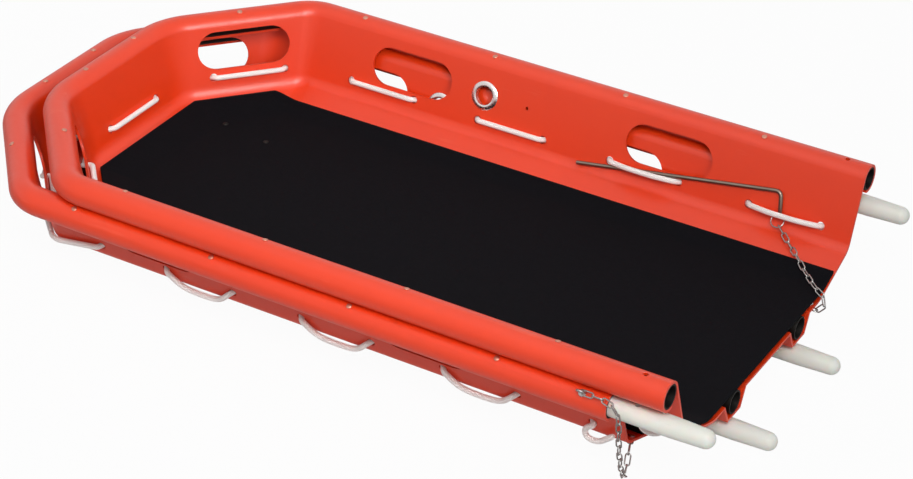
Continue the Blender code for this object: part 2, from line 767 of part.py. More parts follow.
def build_runner_tube(name, place, finish, side):
    """A runner tube lying in its channel, with the locking rod's cross hole near the joint."""
    bm = bmesh.new()
    start_x = RUNNER_END_GAP - CHANNEL_LENGTH
    add_straight_tube(bm, start_x, -FIT_GAP, side * RUNNER_Y, RUNNER_HEIGHT)
    tube = add_bmesh(name, bm, place, finish)
    bm = bmesh.new()
    add_cross_hole(bm, -LOCK_FROM_JOINT)
    boolean(tube, add_cutter(f"{name}_holes", bm, place), "DIFFERENCE")
    return tube


def spigot_profile():
    """(x, radius) from the root inside the tube to the rounded tip."""
    shoulder = SPIGOT_REACH - SPIGOT_TAPER
    nose = SPIGOT_REACH - SPIGOT_TIP_RADIUS
    profile = [
        (-SPIGOT_ROOT, SPIGOT_RADIUS - SPIGOT_CHAMFER),
        (-SPIGOT_ROOT + 2 * SPIGOT_CHAMFER, SPIGOT_RADIUS),
        (shoulder, SPIGOT_RADIUS),
        (nose, SPIGOT_TIP_RADIUS),
    ]
    for i in range(1, 4):
        angle = math.pi / 2 * i / 4
        profile.append((
            nose + SPIGOT_TIP_RADIUS * math.sin(angle),
            SPIGOT_TIP_RADIUS * math.cos(angle),
        ))
    return profile


def build_spigot(name, finish, y, z, gunwale):
    """A nylon spigot on its tube's axis, with the cross holes that its pin and its lock need."""
    rings = []
    for x, radius in spigot_profile():
        mirror = -1 if gunwale and y > 0 else 1
        rings.append([
            (x, mirror * radius * math.cos(angle), radius * math.sin(angle))
            for angle in tube_angles()
        ])
    bm = bmesh.new()
    rows = [[bm.verts.new(p) for p in ring] for ring in rings]
    for low, high in zip(rows, rows[1:]):
        add_annulus(bm, low, high)
    bm.faces.new(rows[0])
    tip = bm.verts.new((SPIGOT_REACH, 0, 0))
    for k in range(TUBE_SIDES):
        bm.faces.new((rows[-1][k], rows[-1][(k + 1) % TUBE_SIDES], tip))
    place = LOWER + Vector((0, y, z))
    spigot = add_bmesh(name, bm, place, finish)
    bm = bmesh.new()
    side = math.copysign(1, y)
    stow = Vector((0, side * math.sin(LOCK_PIN_TILT), math.cos(LOCK_PIN_TILT)))
    across = Vector((0, 1, 0))
    radius = LOCK_HOLE_DIAMETER / 2
    reach = TUBE_RADIUS + OVERRUN
    root = Vector((-LOCK_FROM_JOINT, 0, 0))
    lock = Vector((LOCK_FROM_JOINT, 0, 0))
    stow_axis = stow if gunwale else across
    lock_axis = Vector((0, 0, 1)) if gunwale else across
    add_rod(bm, root - stow_axis * reach, root + stow_axis * reach, radius, 8)
    add_rod(bm, lock - lock_axis * reach, lock + lock_axis * reach, radius, 8)
    boolean(spigot, add_cutter(f"{name}_holes", bm, place), "DIFFERENCE")
    return spigot


def build_spigot_pin(name, finish, side):
    """The plain pin that keeps a runner spigot in its tube."""
    bm = bmesh.new()
    reach = TUBE_RADIUS - FIT_GAP
    add_rod(bm, (0, -reach, 0), (0, reach, 0), LOCK_HOLE_DIAMETER / 2 - FIT_GAP, 8)
    place = LOWER + Vector((-LOCK_FROM_JOINT, side * RUNNER_Y, RUNNER_HEIGHT))
    return add_bmesh(name, bm, place, finish)


def build_rivet(name, place, finish, rivet_place, side, tilt):
    """A domed rivet through the lip and the tube's wall."""
    foot = rim_point(rivet_place, side, tilt, TUBE_BORE - RIVET_TAIL)
    seat = rim_point(rivet_place, side, tilt, RIM_RADIUS + FIT_GAP)
    axis = (seat - foot).normalized()
    length = (seat - foot).length
    profile = [
        (RIVET_SHANK / 2, -length),
        (RIVET_SHANK / 2, 0),
        (RIVET_HEAD / 2, 0),
        (RIVET_TOP / 2, RIVET_DOME),
    ]
    bm = bmesh.new()
    add_turned(bm, Vector(), axis, profile, 6)
    return add_bmesh(name, bm, place + seat, finish)


def build_grommet(name, place, finish, side):
    """A two-flanged steel eyelet in the long wall."""
    where = ("long", GROMMET_FROM_JOINT)
    along, up, out = wall_axes(where, side, GROMMET_LEVEL)
    middle = wall_point(where, side, GROMMET_LEVEL, -SHELL_WALL / 2)
    bore = GROMMET_BORE / 2
    barrel = bore + GROMMET_METAL
    flange = GROMMET_FLANGE / 2
    seat = SHELL_WALL / 2 + FIT_GAP
    crown = seat + GROMMET_ROLL
    half = [
        (bore, 0),
        (bore, seat),
        (bore + GROMMET_ROLL_FROM_BORE, crown),
        (flange - GROMMET_EDGE_WIDTH, crown - GROMMET_EDGE_DROP),
        (flange, seat),
        (barrel, seat),
    ]
    profile = half + [(radius, -height) for radius, height in reversed(half[1:])]
    sides = 12
    rows = []
    bm = bmesh.new()
    for k in range(sides):
        angle = 2 * math.pi * (k + 0.5) / sides
        spoke = along * math.cos(angle) + up * math.sin(angle)
        rows.append([bm.verts.new(spoke * radius + out * height) for radius, height in profile])
    for k in range(sides):
        row, following = rows[k], rows[(k + 1) % sides]
        for i in range(len(profile)):
            j = (i + 1) % len(profile)
            bm.faces.new((row[i], row[j], following[j], following[i]))
    return add_bmesh(name, bm, place + middle, finish)


def smooth_route(points, spacing):
    """Points read at even steps from a Catmull-Rom curve through the route's own points."""
    dense = []
    for i in range(len(points) - 1):
        a = points[max(i - 1, 0)]
        b = points[i]
        c = points[i + 1]
        d = points[min(i + 2, len(points) - 1)]
        for k in range(12):
            t = k / 12
            dense.append(
                0.5 * ((2 * b) + (c - a) * t + (2 * a - 5 * b + 4 * c - d) * t * t
                       + (3 * b - a - 3 * c + d) * t ** 3)
            )
    dense.append(points[-1])
    lengths = [0.0]
    for a, b in zip(dense, dense[1:]):
        lengths.append(lengths[-1] + (b - a).length)
    count = max(2, round(lengths[-1] / spacing))
    targets = np.linspace(0, lengths[-1], count + 1)
    columns = [np.interp(targets, lengths, [p[axis] for p in dense]) for axis in range(3)]
    return [Vector(p) for p in zip(*columns)]


def add_cord(name, points, diameter, place, finish, resolution):
    """A round cord as a curve with filled ends."""
    curve = bpy.data.curves.new(name, "CURVE")
    curve.dimensions = "3D"
    curve.bevel_depth = diameter / 2
    curve.bevel_resolution = resolution
    curve.use_fill_caps = True
    spline = curve.splines.new("POLY")
    spline.points.add(len(points) - 1)
    for point, co in zip(spline.points, points):
        point.co = (*co, 1)
    curve.materials.append(finish)
    obj = bpy.data.objects.new(name, curve)
    obj.location = place
    bpy.context.scene.collection.objects.link(obj)
    return obj


def rope_route(bowed):
    """The lashing rope's points: in at one hole, along inside, out at the next, and round outside.

    bowed holds the stitches that arch over the stowed rod, counted from the near joint end.
    """
    holes = rope_holes()
    inner = ROPE_STAND_OFF
    outer = -SHELL_WALL - ROPE_STAND_OFF
    points = [
        wall_point(("long", where), -1, ROPE_LEVEL - drop, outer - off)
        for where, drop, off in ROPE_END_CURL
    ]
    for index, (place, side, level) in enumerate(holes):
        kind, where = place
        entering = index % 2 == 0
        partner = holes[index + 1] if entering else holes[index - 1]
        heading = (
            wall_point(partner[0], partner[1], partner[2], 0) - wall_point(place, side, level, 0)
        ).normalized()
        inside = wall_point(place, side, level, inner) + heading * ROPE_LEAD
        outside = wall_point(place, side, level, outer) - heading * ROPE_LEAD
        if entering:
            points += [outside, inside]
            if index // 2 in bowed:
                points += arch_points(holes[index], partner)
        else:
            points += [inside, outside]
            if index < len(holes) - 1:
                points += outside_loop(holes[index], holes[index + 1], outer)
    for where, drop, off in reversed(ROPE_END_CURL):
        points.append(wall_point(("long", where), 1, ROPE_LEVEL - drop, outer - off))
    return points


def arch_points(hole, partner):
    """The two points of a stitch where it stands clear of the stowed rod."""
    here = wall_point(*hole, ROPE_STAND_OFF)
    there = wall_point(*partner, ROPE_STAND_OFF)
    out = wall_axes(*hole)[2] * ROPE_ARCH
    return [here.lerp(there, share) + out for share in ARCH_SHARES]


def outside_loop(hole, following, outer):
    """The sagging points of one loop outside the shell."""
    place, side, level = hole
    next_place, next_side, next_level = following
    points = []
    if place[0] == next_place[0]:
        for share in LOOP_SHARES:
            where = place[1] + (next_place[1] - place[1]) * share
            sag = ROPE_SAG * (1 - (2 * share - 1) ** 4)
            points.append(wall_point((place[0], where), side, level - sag, outer))
        return points
    return corner_outside(place, next_place, side, outer)


def corner_outside(place, next_place, side, outer):
    """Points round the outside of the corner between two walls, in the rope's order."""
    level = ROPE_LEVEL - CORNER_SAG
    side_point = (wall_inset(level, WALL_DRAFT) + outer / math.cos(WALL_DRAFT), level)
    end_point = (wall_inset(level, END_DRAFT) + outer / math.cos(END_DRAFT), level)
    ring = plan_ring(side_point, end_point, 0)
    if "long" in (place[0], next_place[0]):
        first = 1 if side < 0 else len(ring) - CORNER_STEPS - 2
    else:
        first = CORNER_STEPS + 2 if side < 0 else len(ring) // 2
    return ring[first:first + CORNER_STEPS + 1]


def build_rope(name, place, finish, bowed):
    return add_cord(name, rope_route(bowed), ROPE_DIAMETER, place, finish, 2)


def link_outline(length):
    """A chain link's wire centre line in its own plane, as (along, across)."""
    radius = (CHAIN_LINK_WIDTH - CHAIN_WIRE) / 2
    reach = (length - CHAIN_WIRE) / 2 - radius
    outline = []
    for end in (1, -1):
        for i in range(3):
            angle = math.pi * (i / 2 - 0.5)
            outline.append((
                end * (reach + radius * math.cos(angle)),
                end * radius * math.sin(angle),
            ))
    return outline


def add_ring(bm, centre, u, v, outline, wire, sides):
    """A closed wire ring: outline lies in the plane of u and v."""
    normal = u.cross(v)
    rows = []
    count = len(outline)
    for i in range(count):
        a, b = outline[i]
        before, after = outline[i - 1], outline[(i + 1) % count]
        heading = (u * (after[0] - before[0]) + v * (after[1] - before[1])).normalized()
        across = heading.cross(normal)
        middle = centre + u * a + v * b
        ring = []
        for k in range(sides):
            angle = 2 * math.pi * k / sides
            ring.append(bm.verts.new(
                middle
                + across * (wire / 2 * math.cos(angle))
                + normal * (wire / 2 * math.sin(angle))
            ))
        rows.append(ring)
    for i in range(count):
        add_annulus(bm, rows[i], rows[(i + 1) % count])


def chain_links(route, first_across, last_across):
    """Every link of a chain as (centre, heading, across, length), turned by quarters."""
    points = smooth_route(route, CHAIN_LINK_LENGTH - 2 * CHAIN_WIRE + CHAIN_BITE)
    count = len(points) - 1
    last_heading = (points[-1] - points[-2]).normalized()
    if count % 2 == 0:
        last_across = last_heading.cross(last_across)
    if first_across.dot(last_across) < 0:
        last_across = -last_across
    links = []
    for i, (low, high) in enumerate(zip(points, points[1:])):
        heading = (high - low).normalized()
        across = first_across.lerp(last_across, i / (count - 1))
        across = (across - heading * across.dot(heading)).normalized()
        if i % 2:
            across = heading.cross(across)
        length = (high - low).length + 2 * CHAIN_WIRE - CHAIN_BITE
        links.append(((low + high) / 2, heading, across, length))
    return links


def build_chain(name, place, finish, links):
    """A chain as one body: each link bears on the next."""
    groups = (bmesh.new(), bmesh.new())
    for i, (centre, heading, across, length) in enumerate(links):
        add_ring(groups[i % 2], centre, heading, across, link_outline(length), CHAIN_WIRE, 4)
    chain = add_bmesh(name, groups[0], place, finish)
    boolean(chain, add_cutter(f"{name}_other_links", groups[1], place), "UNION")
    return chain


def anchor_frame(male):
    """The chain anchor's seat on the shell's inner face, and the direction out through the shell."""
    if male:
        foot_y = -FLOOR_HALF_WIDTH
        bend_y = -(GUNWALE_Y - wall_inset(BEND_HEIGHT, WALL_DRAFT))
        share = (LOWER_ANCHOR_Y - foot_y) / (bend_y - foot_y)
        z = FLOOR_HEIGHT + (BEND_HEIGHT - FLOOR_HEIGHT) * share
        slope = Vector((0, bend_y - foot_y, BEND_HEIGHT - FLOOR_HEIGHT)).normalized()
        return Vector((-ANCHOR_FROM_JOINT, LOWER_ANCHOR_Y, z)), Vector((0, -slope.z, slope.y))
    return Vector((-ANCHOR_FROM_JOINT, UPPER_ANCHOR_Y, FLOOR_HEIGHT)), Vector((0, 0, -1))


def build_anchor(name, place, finish, male):
    """A shouldered bolt through the shell: its head holds the chain's last link."""
    seat, out = anchor_frame(male)
    collar = ANCHOR_STAND_OFF + SHELL_WALL + 2 * FIT_GAP
    profile = [
        (ANCHOR_HEAD / 2 - ANCHOR_EDGE, -ANCHOR_CAP - FIT_GAP),
        (ANCHOR_HEAD / 2, -ANCHOR_CAP + ANCHOR_EDGE),
        (ANCHOR_HEAD / 2, -FIT_GAP),
        (ANCHOR_SHANK / 2, -FIT_GAP),
        (ANCHOR_SHANK / 2, collar),
        (ANCHOR_HEAD / 2, collar),
        (ANCHOR_HEAD / 2, collar + ANCHOR_EDGE),
        (ANCHOR_HEAD / 4, collar + ANCHOR_DOME),
    ]
    bm = bmesh.new()
    add_turned(bm, Vector(), out, profile, 8)
    return add_bmesh(name, bm, place + seat, finish)


def add_turned(bm, foot, axis, profile, sides):
    """A closed turned piece: profile is (radius, distance along the axis)."""
    turn = axis.to_track_quat("Z", "Y")
    rings = []
    for radius, height in profile:
        ring = []
        for k in range(sides):
            angle = 2 * math.pi * (k + 0.5) / sides
            spoke = Vector((radius * math.cos(angle), radius * math.sin(angle), height))
            ring.append(foot + turn @ spoke)
        rings.append(ring)
    add_prism(bm, rings)


def circle(radius, sides):
    return [
        (radius * math.cos(2 * math.pi * i / sides), radius * math.sin(2 * math.pi * i / sides))
        for i in range(sides)
    ]


def lock_pin_frame(side):
    """The stowed lock pin's crossing with the gunwale's axis, and the pin's outward axis."""
    place = ("long", LOCK_FROM_JOINT)
    centre = rim_point(place, side, LOCK_PIN_TILT, 0)
    return centre, rim_point(place, side, LOCK_PIN_TILT, 1) - centre


def lock_pin_eye(side):
    centre, axis = lock_pin_frame(side)
    return centre + axis * (RIM_RADIUS + FIT_GAP + COLLAR_HEIGHT + LOCK_PIN_EYE), axis


def build_lock_pin(name, finish, side):
    """A gunwale lock pin in its stowage hole, with an eye for its chain; its origin is on its axis."""
    tube_centre, axis = lock_pin_frame(side)
    collar = RIM_RADIUS + FIT_GAP
    bm = bmesh.new()
    tail = -axis * (TUBE_RADIUS + LOCK_PIN_TAIL)
    add_rod(bm, tail, axis * (collar + COLLAR_HEIGHT + EYE_ROOT), LOCK_PIN_DIAMETER / 2, 8)
    pin = add_bmesh(name, bm, LOWER + tube_centre, finish)
    bm = bmesh.new()
    collar_radius = LOCK_PIN_DIAMETER / 2 + COLLAR_RIM
    add_rod(bm, axis * collar, axis * (collar + COLLAR_HEIGHT), collar_radius, 8)
    boolean(pin, add_cutter(f"{name}_collar", bm, LOWER + tube_centre), "UNION")
    bm = bmesh.new()
    eye = axis * (collar + COLLAR_HEIGHT + LOCK_PIN_EYE)
    add_ring(bm, eye, axis, Vector((1, 0, 0)), circle(LOCK_PIN_EYE, 10), EYE_WIRE, 6)
    boolean(pin, add_cutter(f"{name}_eye", bm, LOWER + tube_centre), "UNION")
    return pin


def rod_line():
    """The stowed rod's centre line on the far wall: tip, long leg, bend and short leg."""
    depth = ROD_DIAMETER / 2 + FIT_GAP
    tip = wall_point(("long", ROD_TIP_FROM_JOINT), 1, ROD_TIP_LEVEL, depth + ROD_TIP_LIFT)
    corner = wall_point(("long", ROD_BEND_FROM_JOINT), 1, ROD_BEND_LEVEL, depth)
    along = (corner - tip).normalized()
    up = wall_axes(("long", ROD_BEND_FROM_JOINT), 1, ROD_BEND_LEVEL)[1]
    down = (along * along.dot(up) - up).normalized()
    before = corner - along * ROD_BEND_RADIUS
    after = corner + down * ROD_BEND_RADIUS
    bend = [Vector(p) for p in bezier_corner(before, corner, after, 4)]
    return [tip] + bend + [corner + down * ROD_SHORT_LEG]


def add_bent_rod(bm, points, radius, sides):
    """A closed round rod along points that lie in one plane."""
    normal = (points[1] - points[0]).cross(points[-1] - points[0]).normalized()
    rings = []
    for i, point in enumerate(points):
        before = points[max(i - 1, 0)]
        after = points[min(i + 1, len(points) - 1)]
        across = (after - before).normalized().cross(normal)
        ring = []
        for k in range(sides):
            angle = 2 * math.pi * (k + 0.5) / sides
            ring.append(
                point
                + across * (radius * math.cos(angle))
                + normal * (radius * math.sin(angle))
            )
        rings.append(ring)
    add_prism(bm, rings)


def rod_ring_frame():
    """The ring's hole in the rod's short leg, the way to the ring's middle and the ring's other axis."""
    points = rod_line()
    down = (points[-1] - points[-2]).normalized()
    hole = points[-1] - down * ROD_EYE_FROM_END
    hang = Vector((0, -math.sin(ROD_RING_LEAN), -math.cos(ROD_RING_LEAN)))
    return hole, hang, Vector((1, 0, 0))


def build_locking_rod(name, finish):
    """The L-shaped rod that locks both runner joints; its origin is at its tip."""
    points = rod_line()
    start = points[0]
    bm = bmesh.new()
    add_bent_rod(bm, [point - start for point in points], ROD_DIAMETER / 2, 8)
    rod = add_bmesh(name, bm, UPPER + start, finish)
    hole, hang, along = rod_ring_frame()
    bm = bmesh.new()
    add_rod(
        bm,
        hole - start - along * ROD_DIAMETER,
        hole - start + along * ROD_DIAMETER,
        ROD_EYE_DIAMETER / 2,
        6,
    )
    boolean(rod, add_cutter(f"{name}_eye", bm, UPPER + start), "DIFFERENCE")
    return rod


def build_rod_ring(name, finish):
    hole, hang, along = rod_ring_frame()
    middle = hole + hang * (ROD_RING_RADIUS - FIT_GAP)
    bm = bmesh.new()
    add_ring(bm, Vector(), hang, along, circle(ROD_RING_RADIUS, 12), ROD_RING_WIRE, 5)
    return add_bmesh(name, bm, UPPER + middle, finish)


def link_start(wire_centre, wire_radius, heading):
    """Where a chain's route begins, so that its first link just clears the wire it holds."""
    return wire_centre - heading * (wire_radius + CHAIN_BITE / 2 + CHAIN_PLAY)


def pin_chain_links():
    """The near lock pin's chain: over the rim's end, down past the spigot and up to its anchor."""
    centre, axis = lock_pin_eye(-1)
    along = Vector((1, 0, 0))
    start = link_start(centre + along * LOCK_PIN_EYE, EYE_WIRE / 2, along)
    seat, out = anchor_frame(True)
    anchor = seat + out * (SHELL_WALL + FIT_GAP + ANCHOR_STAND_OFF / 2)
    arrival = (along.cross(out) - along * PIN_CHAIN_LEAN).normalized()
    end = anchor - link_start(Vector(), ANCHOR_SHANK / 2, arrival)
    route = [start] + [Vector((x, -GUNWALE_Y - outwards, z)) for x, outwards, z in PIN_CHAIN_ROUTE]
    route += [end - arrival * CHAIN_LEAD, end]
    return chain_links(route, axis.cross(along), arrival.cross(out))


def rod_chain_links():
    """The rod's chain: from its ring across the mat and round the joint end to its anchor."""
    hole, hang, along = rod_ring_frame()
    pull = (hang + along * ROD_CHAIN_LEAN).normalized()
    wire = hole + (hang + pull) * ROD_RING_RADIUS
    start = link_start(wire, ROD_RING_WIRE / 2, pull)
    seat, out = anchor_frame(False)
    anchor = seat + out * (SHELL_WALL + FIT_GAP + ANCHOR_STAND_OFF / 2)
    arrival = Vector((-1, 0, 0))
    end = anchor - link_start(Vector(), ANCHOR_SHANK / 2, arrival)
    width = GUNWALE_Y - UPPER_ANCHOR_Y
    route = [start]
    route += [Vector((x, UPPER_ANCHOR_Y + width * share, z)) for x, share, z in ROD_CHAIN_ROUTE]
    route.append(end)
    return chain_links(route, hang.cross(along), arrival.cross(out))


def build_parts():
    orange = material("orange_polyethylene", ORANGE, 0.38)
    rubber = material("black_mat", RUBBER, 0.85)
    steel = material("bright_steel", STEEL, 0.30, 1.0)
    dark_steel = material("dark_steel", DARK_STEEL, 0.35, 1.0)
    nylon = material("white_nylon", NYLON, 0.45)
    cord = material("white_cord", CORD, 0.75)

    for word, place, male, bowed in (
        ("lower", LOWER, True, ()),
        ("upper", UPPER, False, (9, 10)),
    ):
        build_shell(f"{word}_shell", place, orange, male)
        build_mat(f"{word}_mat", place, rubber)
        build_gunwale_tube(f"{word}_gunwale_tube", place, dark_steel, male)
        build_rope(f"{word}_lashing_rope", place, cord, bowed)
        for side, where in ((-1, "near"), (1, "far")):
            build_runner_tube(f"{word}_runner_tube_{where}", place, dark_steel, side)
            build_grommet(f"{word}_grommet_{where}", place, steel, side)
        for rivet_name, rivet_place, side, tilt in rivet_places(male):
            build_rivet(f"{word}_rivet_{rivet_name}", place, steel, rivet_place, side, tilt)

    for side, where in ((-1, "near"), (1, "far")):
        build_spigot(f"gunwale_spigot_{where}", nylon, side * GUNWALE_Y, GUNWALE_HEIGHT, True)
        build_spigot(f"runner_spigot_{where}", nylon, side * RUNNER_Y, RUNNER_HEIGHT, False)
        build_spigot_pin(f"runner_spigot_pin_{where}", steel, side)
    build_lock_pin("gunwale_lock_pin", steel, -1)
    build_chain("lock_pin_chain", LOWER, steel, pin_chain_links())
    build_anchor("lower_chain_anchor", LOWER, steel, True)
    build_locking_rod("locking_rod", dark_steel)
    build_rod_ring("locking_rod_ring", steel)
    build_chain("locking_rod_chain", UPPER, steel, rod_chain_links())
    build_anchor("upper_chain_anchor", UPPER, steel, False)


clear_scene()
build_parts()
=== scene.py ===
"""Looks for a two-piece basket stretcher, stowed with its upper half nested in the lower one.

Each half is drawn in its own frame, as its solids are: x = 0 at the joint end, the closed
end at -x, y = 0 on the centre line and z = 0 under the runners.
"""

import math

import bmesh
import bpy
import numpy as np
from mathutils import Matrix, Vector


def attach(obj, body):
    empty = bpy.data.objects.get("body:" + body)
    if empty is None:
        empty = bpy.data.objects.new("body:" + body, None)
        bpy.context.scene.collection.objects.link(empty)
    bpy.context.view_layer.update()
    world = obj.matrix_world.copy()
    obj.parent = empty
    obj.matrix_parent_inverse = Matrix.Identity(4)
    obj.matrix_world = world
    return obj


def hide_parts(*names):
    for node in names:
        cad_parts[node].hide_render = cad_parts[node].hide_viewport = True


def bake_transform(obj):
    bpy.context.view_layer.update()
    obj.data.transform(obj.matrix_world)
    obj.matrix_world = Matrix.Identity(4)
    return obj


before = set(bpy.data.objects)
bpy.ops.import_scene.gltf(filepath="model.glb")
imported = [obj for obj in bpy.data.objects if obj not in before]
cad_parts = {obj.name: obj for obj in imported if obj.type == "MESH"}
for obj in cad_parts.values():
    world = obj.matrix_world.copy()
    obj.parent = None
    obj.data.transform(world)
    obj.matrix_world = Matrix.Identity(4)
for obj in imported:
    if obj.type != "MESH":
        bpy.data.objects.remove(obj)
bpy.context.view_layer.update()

# Sizes of the solids, in metres.
HALF_LENGTH = 1.083
GUNWALE_Y = 0.308
GUNWALE_HEIGHT = 0.154
CHAMFER_START = 0.924
END_WIDTH = 0.260
SIDE_CORNER_RADIUS = 0.060
END_CORNER_RADIUS = 0.100
LEAST_CORNER_RADIUS = 0.030
SHELL_WALL = 0.0037
SHELL_EDGE_RADIUS = 0.0009
TUBE_RADIUS = 0.0168
TUBE_BORE = 0.0146
FIT_GAP = 0.0003
WALL_DRAFT = math.radians(19.5)
END_DRAFT = math.radians(14)
BEND_HEIGHT = 0.065
END_BEND_HEIGHT = 0.058
FLOOR_HEIGHT = 0.031
FLOOR_HALF_WIDTH = 0.1675
END_FOOT = 0.121
BEND_REACH = 0.010
END_BEND_REACH = 0.016
LIP_WRAP = math.radians(270)
RUNNER_Y = 0.10175
CHANNEL_TOP = 0.0615
CHANNEL_BOTTOM = 0.0350
CHANNEL_LENGTH = 0.932
CHANNEL_END_SLOPE = 0.020
RUNNER_TUBE_GAP = 0.004
MAT_THICKNESS = 0.0048
MAT_EDGE_RADIUS = 0.0012
MAT_FOOT_REACH = 0.010
MAT_FOOT_GAP = 0.004
MAT_EDGE = 0.212
MAT_CHAMFER_EDGE = 0.056
MAT_END_STEP = 0.008
MAT_CORNER_RADIUS = 0.005
MAT_RUN_OUT = 0.040
MAT_END_GAP = 0.001
HANDHOLD_LENGTH = 0.138
HANDHOLD_HEIGHT = 0.058
HANDHOLD_LEVEL = 0.121
HANDHOLDS_FROM_JOINT = (0.294, 0.7265)
CHAMFER_HANDHOLD_LENGTH = 0.1435
CHAMFER_HANDHOLD_LEVEL = 0.125
GROMMET_FROM_JOINT = 0.600
GROMMET_LEVEL = 0.121
GROMMET_BORE = 0.028
GROMMET_FLANGE = 0.044
GROMMET_WALL = 0.0012
GROMMET_ROLL = 0.0026
GROMMET_HOLE = 0.0310
SCREW_HOLE_FROM_JOINT = 0.528
SCREW_HOLE = 0.005
ROPE_DIAMETER = 0.008
ROPE_HOLE_DIAMETER = 0.0125
ROPE_LEVEL = 0.085
ROPE_FIRST_HOLE = 0.047
ROPE_HOLE_PITCH = 0.1115
ROPE_SIDE_HOLES = 8
ROPE_SAG = 0.024
ROPE_CHAMFER_SHIFT = 0.005
ROPE_STAND_OFF = 0.0049
ROPE_ARCH = 0.0090
ROPE_LEAD = 0.004
ROPE_STEP = 0.0025
ROPE_END_CURL = (
    (0.0120, 0.0010, 0.0030),
    (0.0230, 0.0110, 0.0040),
    (0.0340, 0.0220, 0.0040),
    (0.0450, 0.0260, 0.0040),
    (0.0550, 0.0240, 0.0030),
    (0.0580, 0.0160, 0.0010),
    (0.0540, 0.0070, 0.0000),
)
RIVETS_FROM_JOINT = (0.1605, 0.3815, 0.6000, 0.8280)
END_RIVET_OFFSET = 0.058
RIVET_HEAD = 0.0080
RIVET_DOME = 0.0013
STUD_HEAD = 0.0085
STUD_DOME = 0.0016
SPIGOT_REACH = 0.1415
SPIGOT_ROOT = 0.100
SPIGOT_TAPER = 0.060
SPIGOT_TIP_RADIUS = 0.0128
LOCK_FROM_JOINT = 0.035
LOCK_PIN_TILT = math.radians(45)
LOCK_PIN_RADIUS = 0.0030
LOCK_COLLAR_RADIUS = 0.0050
LOCK_COLLAR_HEIGHT = 0.0025
LOCK_HOLE_RADIUS = 0.0035
LOCK_HOLE_REACH = 0.022
CHAIN_WIRE = 0.0020
CHAIN_LINK_LENGTH = 0.0185
CHAIN_LINK_WIDTH = 0.0088
CHAIN_BITE = 0.0003
CHAIN_PLAY = 0.0010
EYE_WIRE = 0.0028
LOCK_PIN_EYE = 0.0055
ROD_DIAMETER = 0.006
ROD_TIP_FROM_JOINT, ROD_TIP_LEVEL = 0.430, 0.0702
ROD_BEND_FROM_JOINT, ROD_BEND_LEVEL = 0.113, 0.1155
ROD_TIP_LIFT = 0.0020
ROD_BEND_REACH = 0.010
ROD_LEG = 0.038
ROD_HOLE_FROM_END = 0.0040
ROD_HOLE_RADIUS = 0.0019
ROD_RING_RADIUS = 0.0095
ROD_RING_WIRE = 0.0018
ROD_RING_LEAN = math.radians(45)
ANCHOR_FROM_JOINT = 0.0080
ANCHOR_Y = {"lower": -0.230, "upper": 0.150}
ANCHOR_SHANK = 0.0036
ANCHOR_STAND_OFF = 0.0030
ANCHOR_HEAD = 0.0100

RIM_RADIUS = TUBE_RADIUS + FIT_GAP + SHELL_WALL
RUNNER_HEIGHT = SHELL_WALL + FIT_GAP + TUBE_RADIUS
MAT_BASE = RUNNER_HEIGHT + TUBE_RADIUS + FIT_GAP
HALVES = {"lower": Vector((0.48115, 0, 0)), "upper": Vector((0.55865, 0, 0.0430))}
RIVET_TILTS = {"lower": math.radians(30), "upper": math.radians(-15)}
END_RIVET_TILT = 0.0
CORNER_STEPS = 10
ROUND_SIDES = 32
CUT_OVERRUN = 0.006
MAT_STUDS = ((-0.955, 0.108, 0.0429), (-0.873, 0.096, 0.0429))
# The pairs of rope holes, counted from the near joint end, where the rope bows off the wall.
BOWED_STITCHES = (9, 10)
SIDES = ((-1, "near"), (1, "far"))
ALONG, ACROSS, UP = Vector((1, 0, 0)), Vector((0, 1, 0)), Vector((0, 0, 1))
RING_HANG = Vector((0, -math.sin(ROD_RING_LEAN), -math.cos(ROD_RING_LEAN)))
WHITE = (1, 1, 1, 1)


# Node trees.
def fill(tree, node, values):
    """Sets a node's inputs by name or number: a socket is linked, and anything else is written."""
    for key, value in values.items():
        if isinstance(value, bpy.types.NodeSocket):
            tree.links.new(value, node.inputs[key])
        else:
            node.inputs[key].default_value = value


def put(tree, kind, values=None, **settings):
    """A new node with its settings and its inputs."""
    node = tree.nodes.new(kind)
    for key, value in settings.items():
        setattr(node, key, value)
    fill(tree, node, values or {})
    return node


def reckon(tree, operation, *numbers):
    """The result of one sum, on sockets or plain numbers."""
    return put(tree, "ShaderNodeMath", dict(enumerate(numbers)), operation=operation).outputs[0]


# Camera, lights and floor.
CAMERA_PLACE = (1.625555, -2.691574, 2.052063)
# Its turns about its own axes, from looking straight down with +Y up the picture.
CAMERA_TURNS = (("Z", 29.95513), ("X", 90 - 32.19366), ("Z", 1.41024))
SENSOR_WIDTH = 36
FOCAL_PIXELS = 2611.935
PICTURE_PIXELS = 913


def add_camera():
    data = bpy.data.cameras.new("camera")
    data.sensor_width = SENSOR_WIDTH
    data.lens = SENSOR_WIDTH * FOCAL_PIXELS / PICTURE_PIXELS
    data.clip_end = 50
    camera = link_object("camera", data)
    place = Matrix.Translation(CAMERA_PLACE)
    for axis, degrees in CAMERA_TURNS:
        place = place @ Matrix.Rotation(math.radians(degrees), 4, axis)
    camera.matrix_world = place
    bpy.context.scene.camera = camera


def add_softbox(name, place, target, size, power, spread=180):
    data = bpy.data.lights.new(name, "AREA")
    data.shape = "RECTANGLE"
    data.size, data.size_y = size
    data.energy = power
    data.spread = math.radians(spread)
    lamp = link_object(name, data)
    lamp.location = place
    lamp.rotation_euler = (Vector(target) - Vector(place)).to_track_quat("-Z", "Y").to_euler()


def seen_ray(tree, other):
    """1 where the camera sees the surface, or where the other kind of ray meets it."""
    path = put(tree, "ShaderNodeLightPath").outputs
    return reckon(tree, "MAXIMUM", path["Is Camera Ray"], path[other])


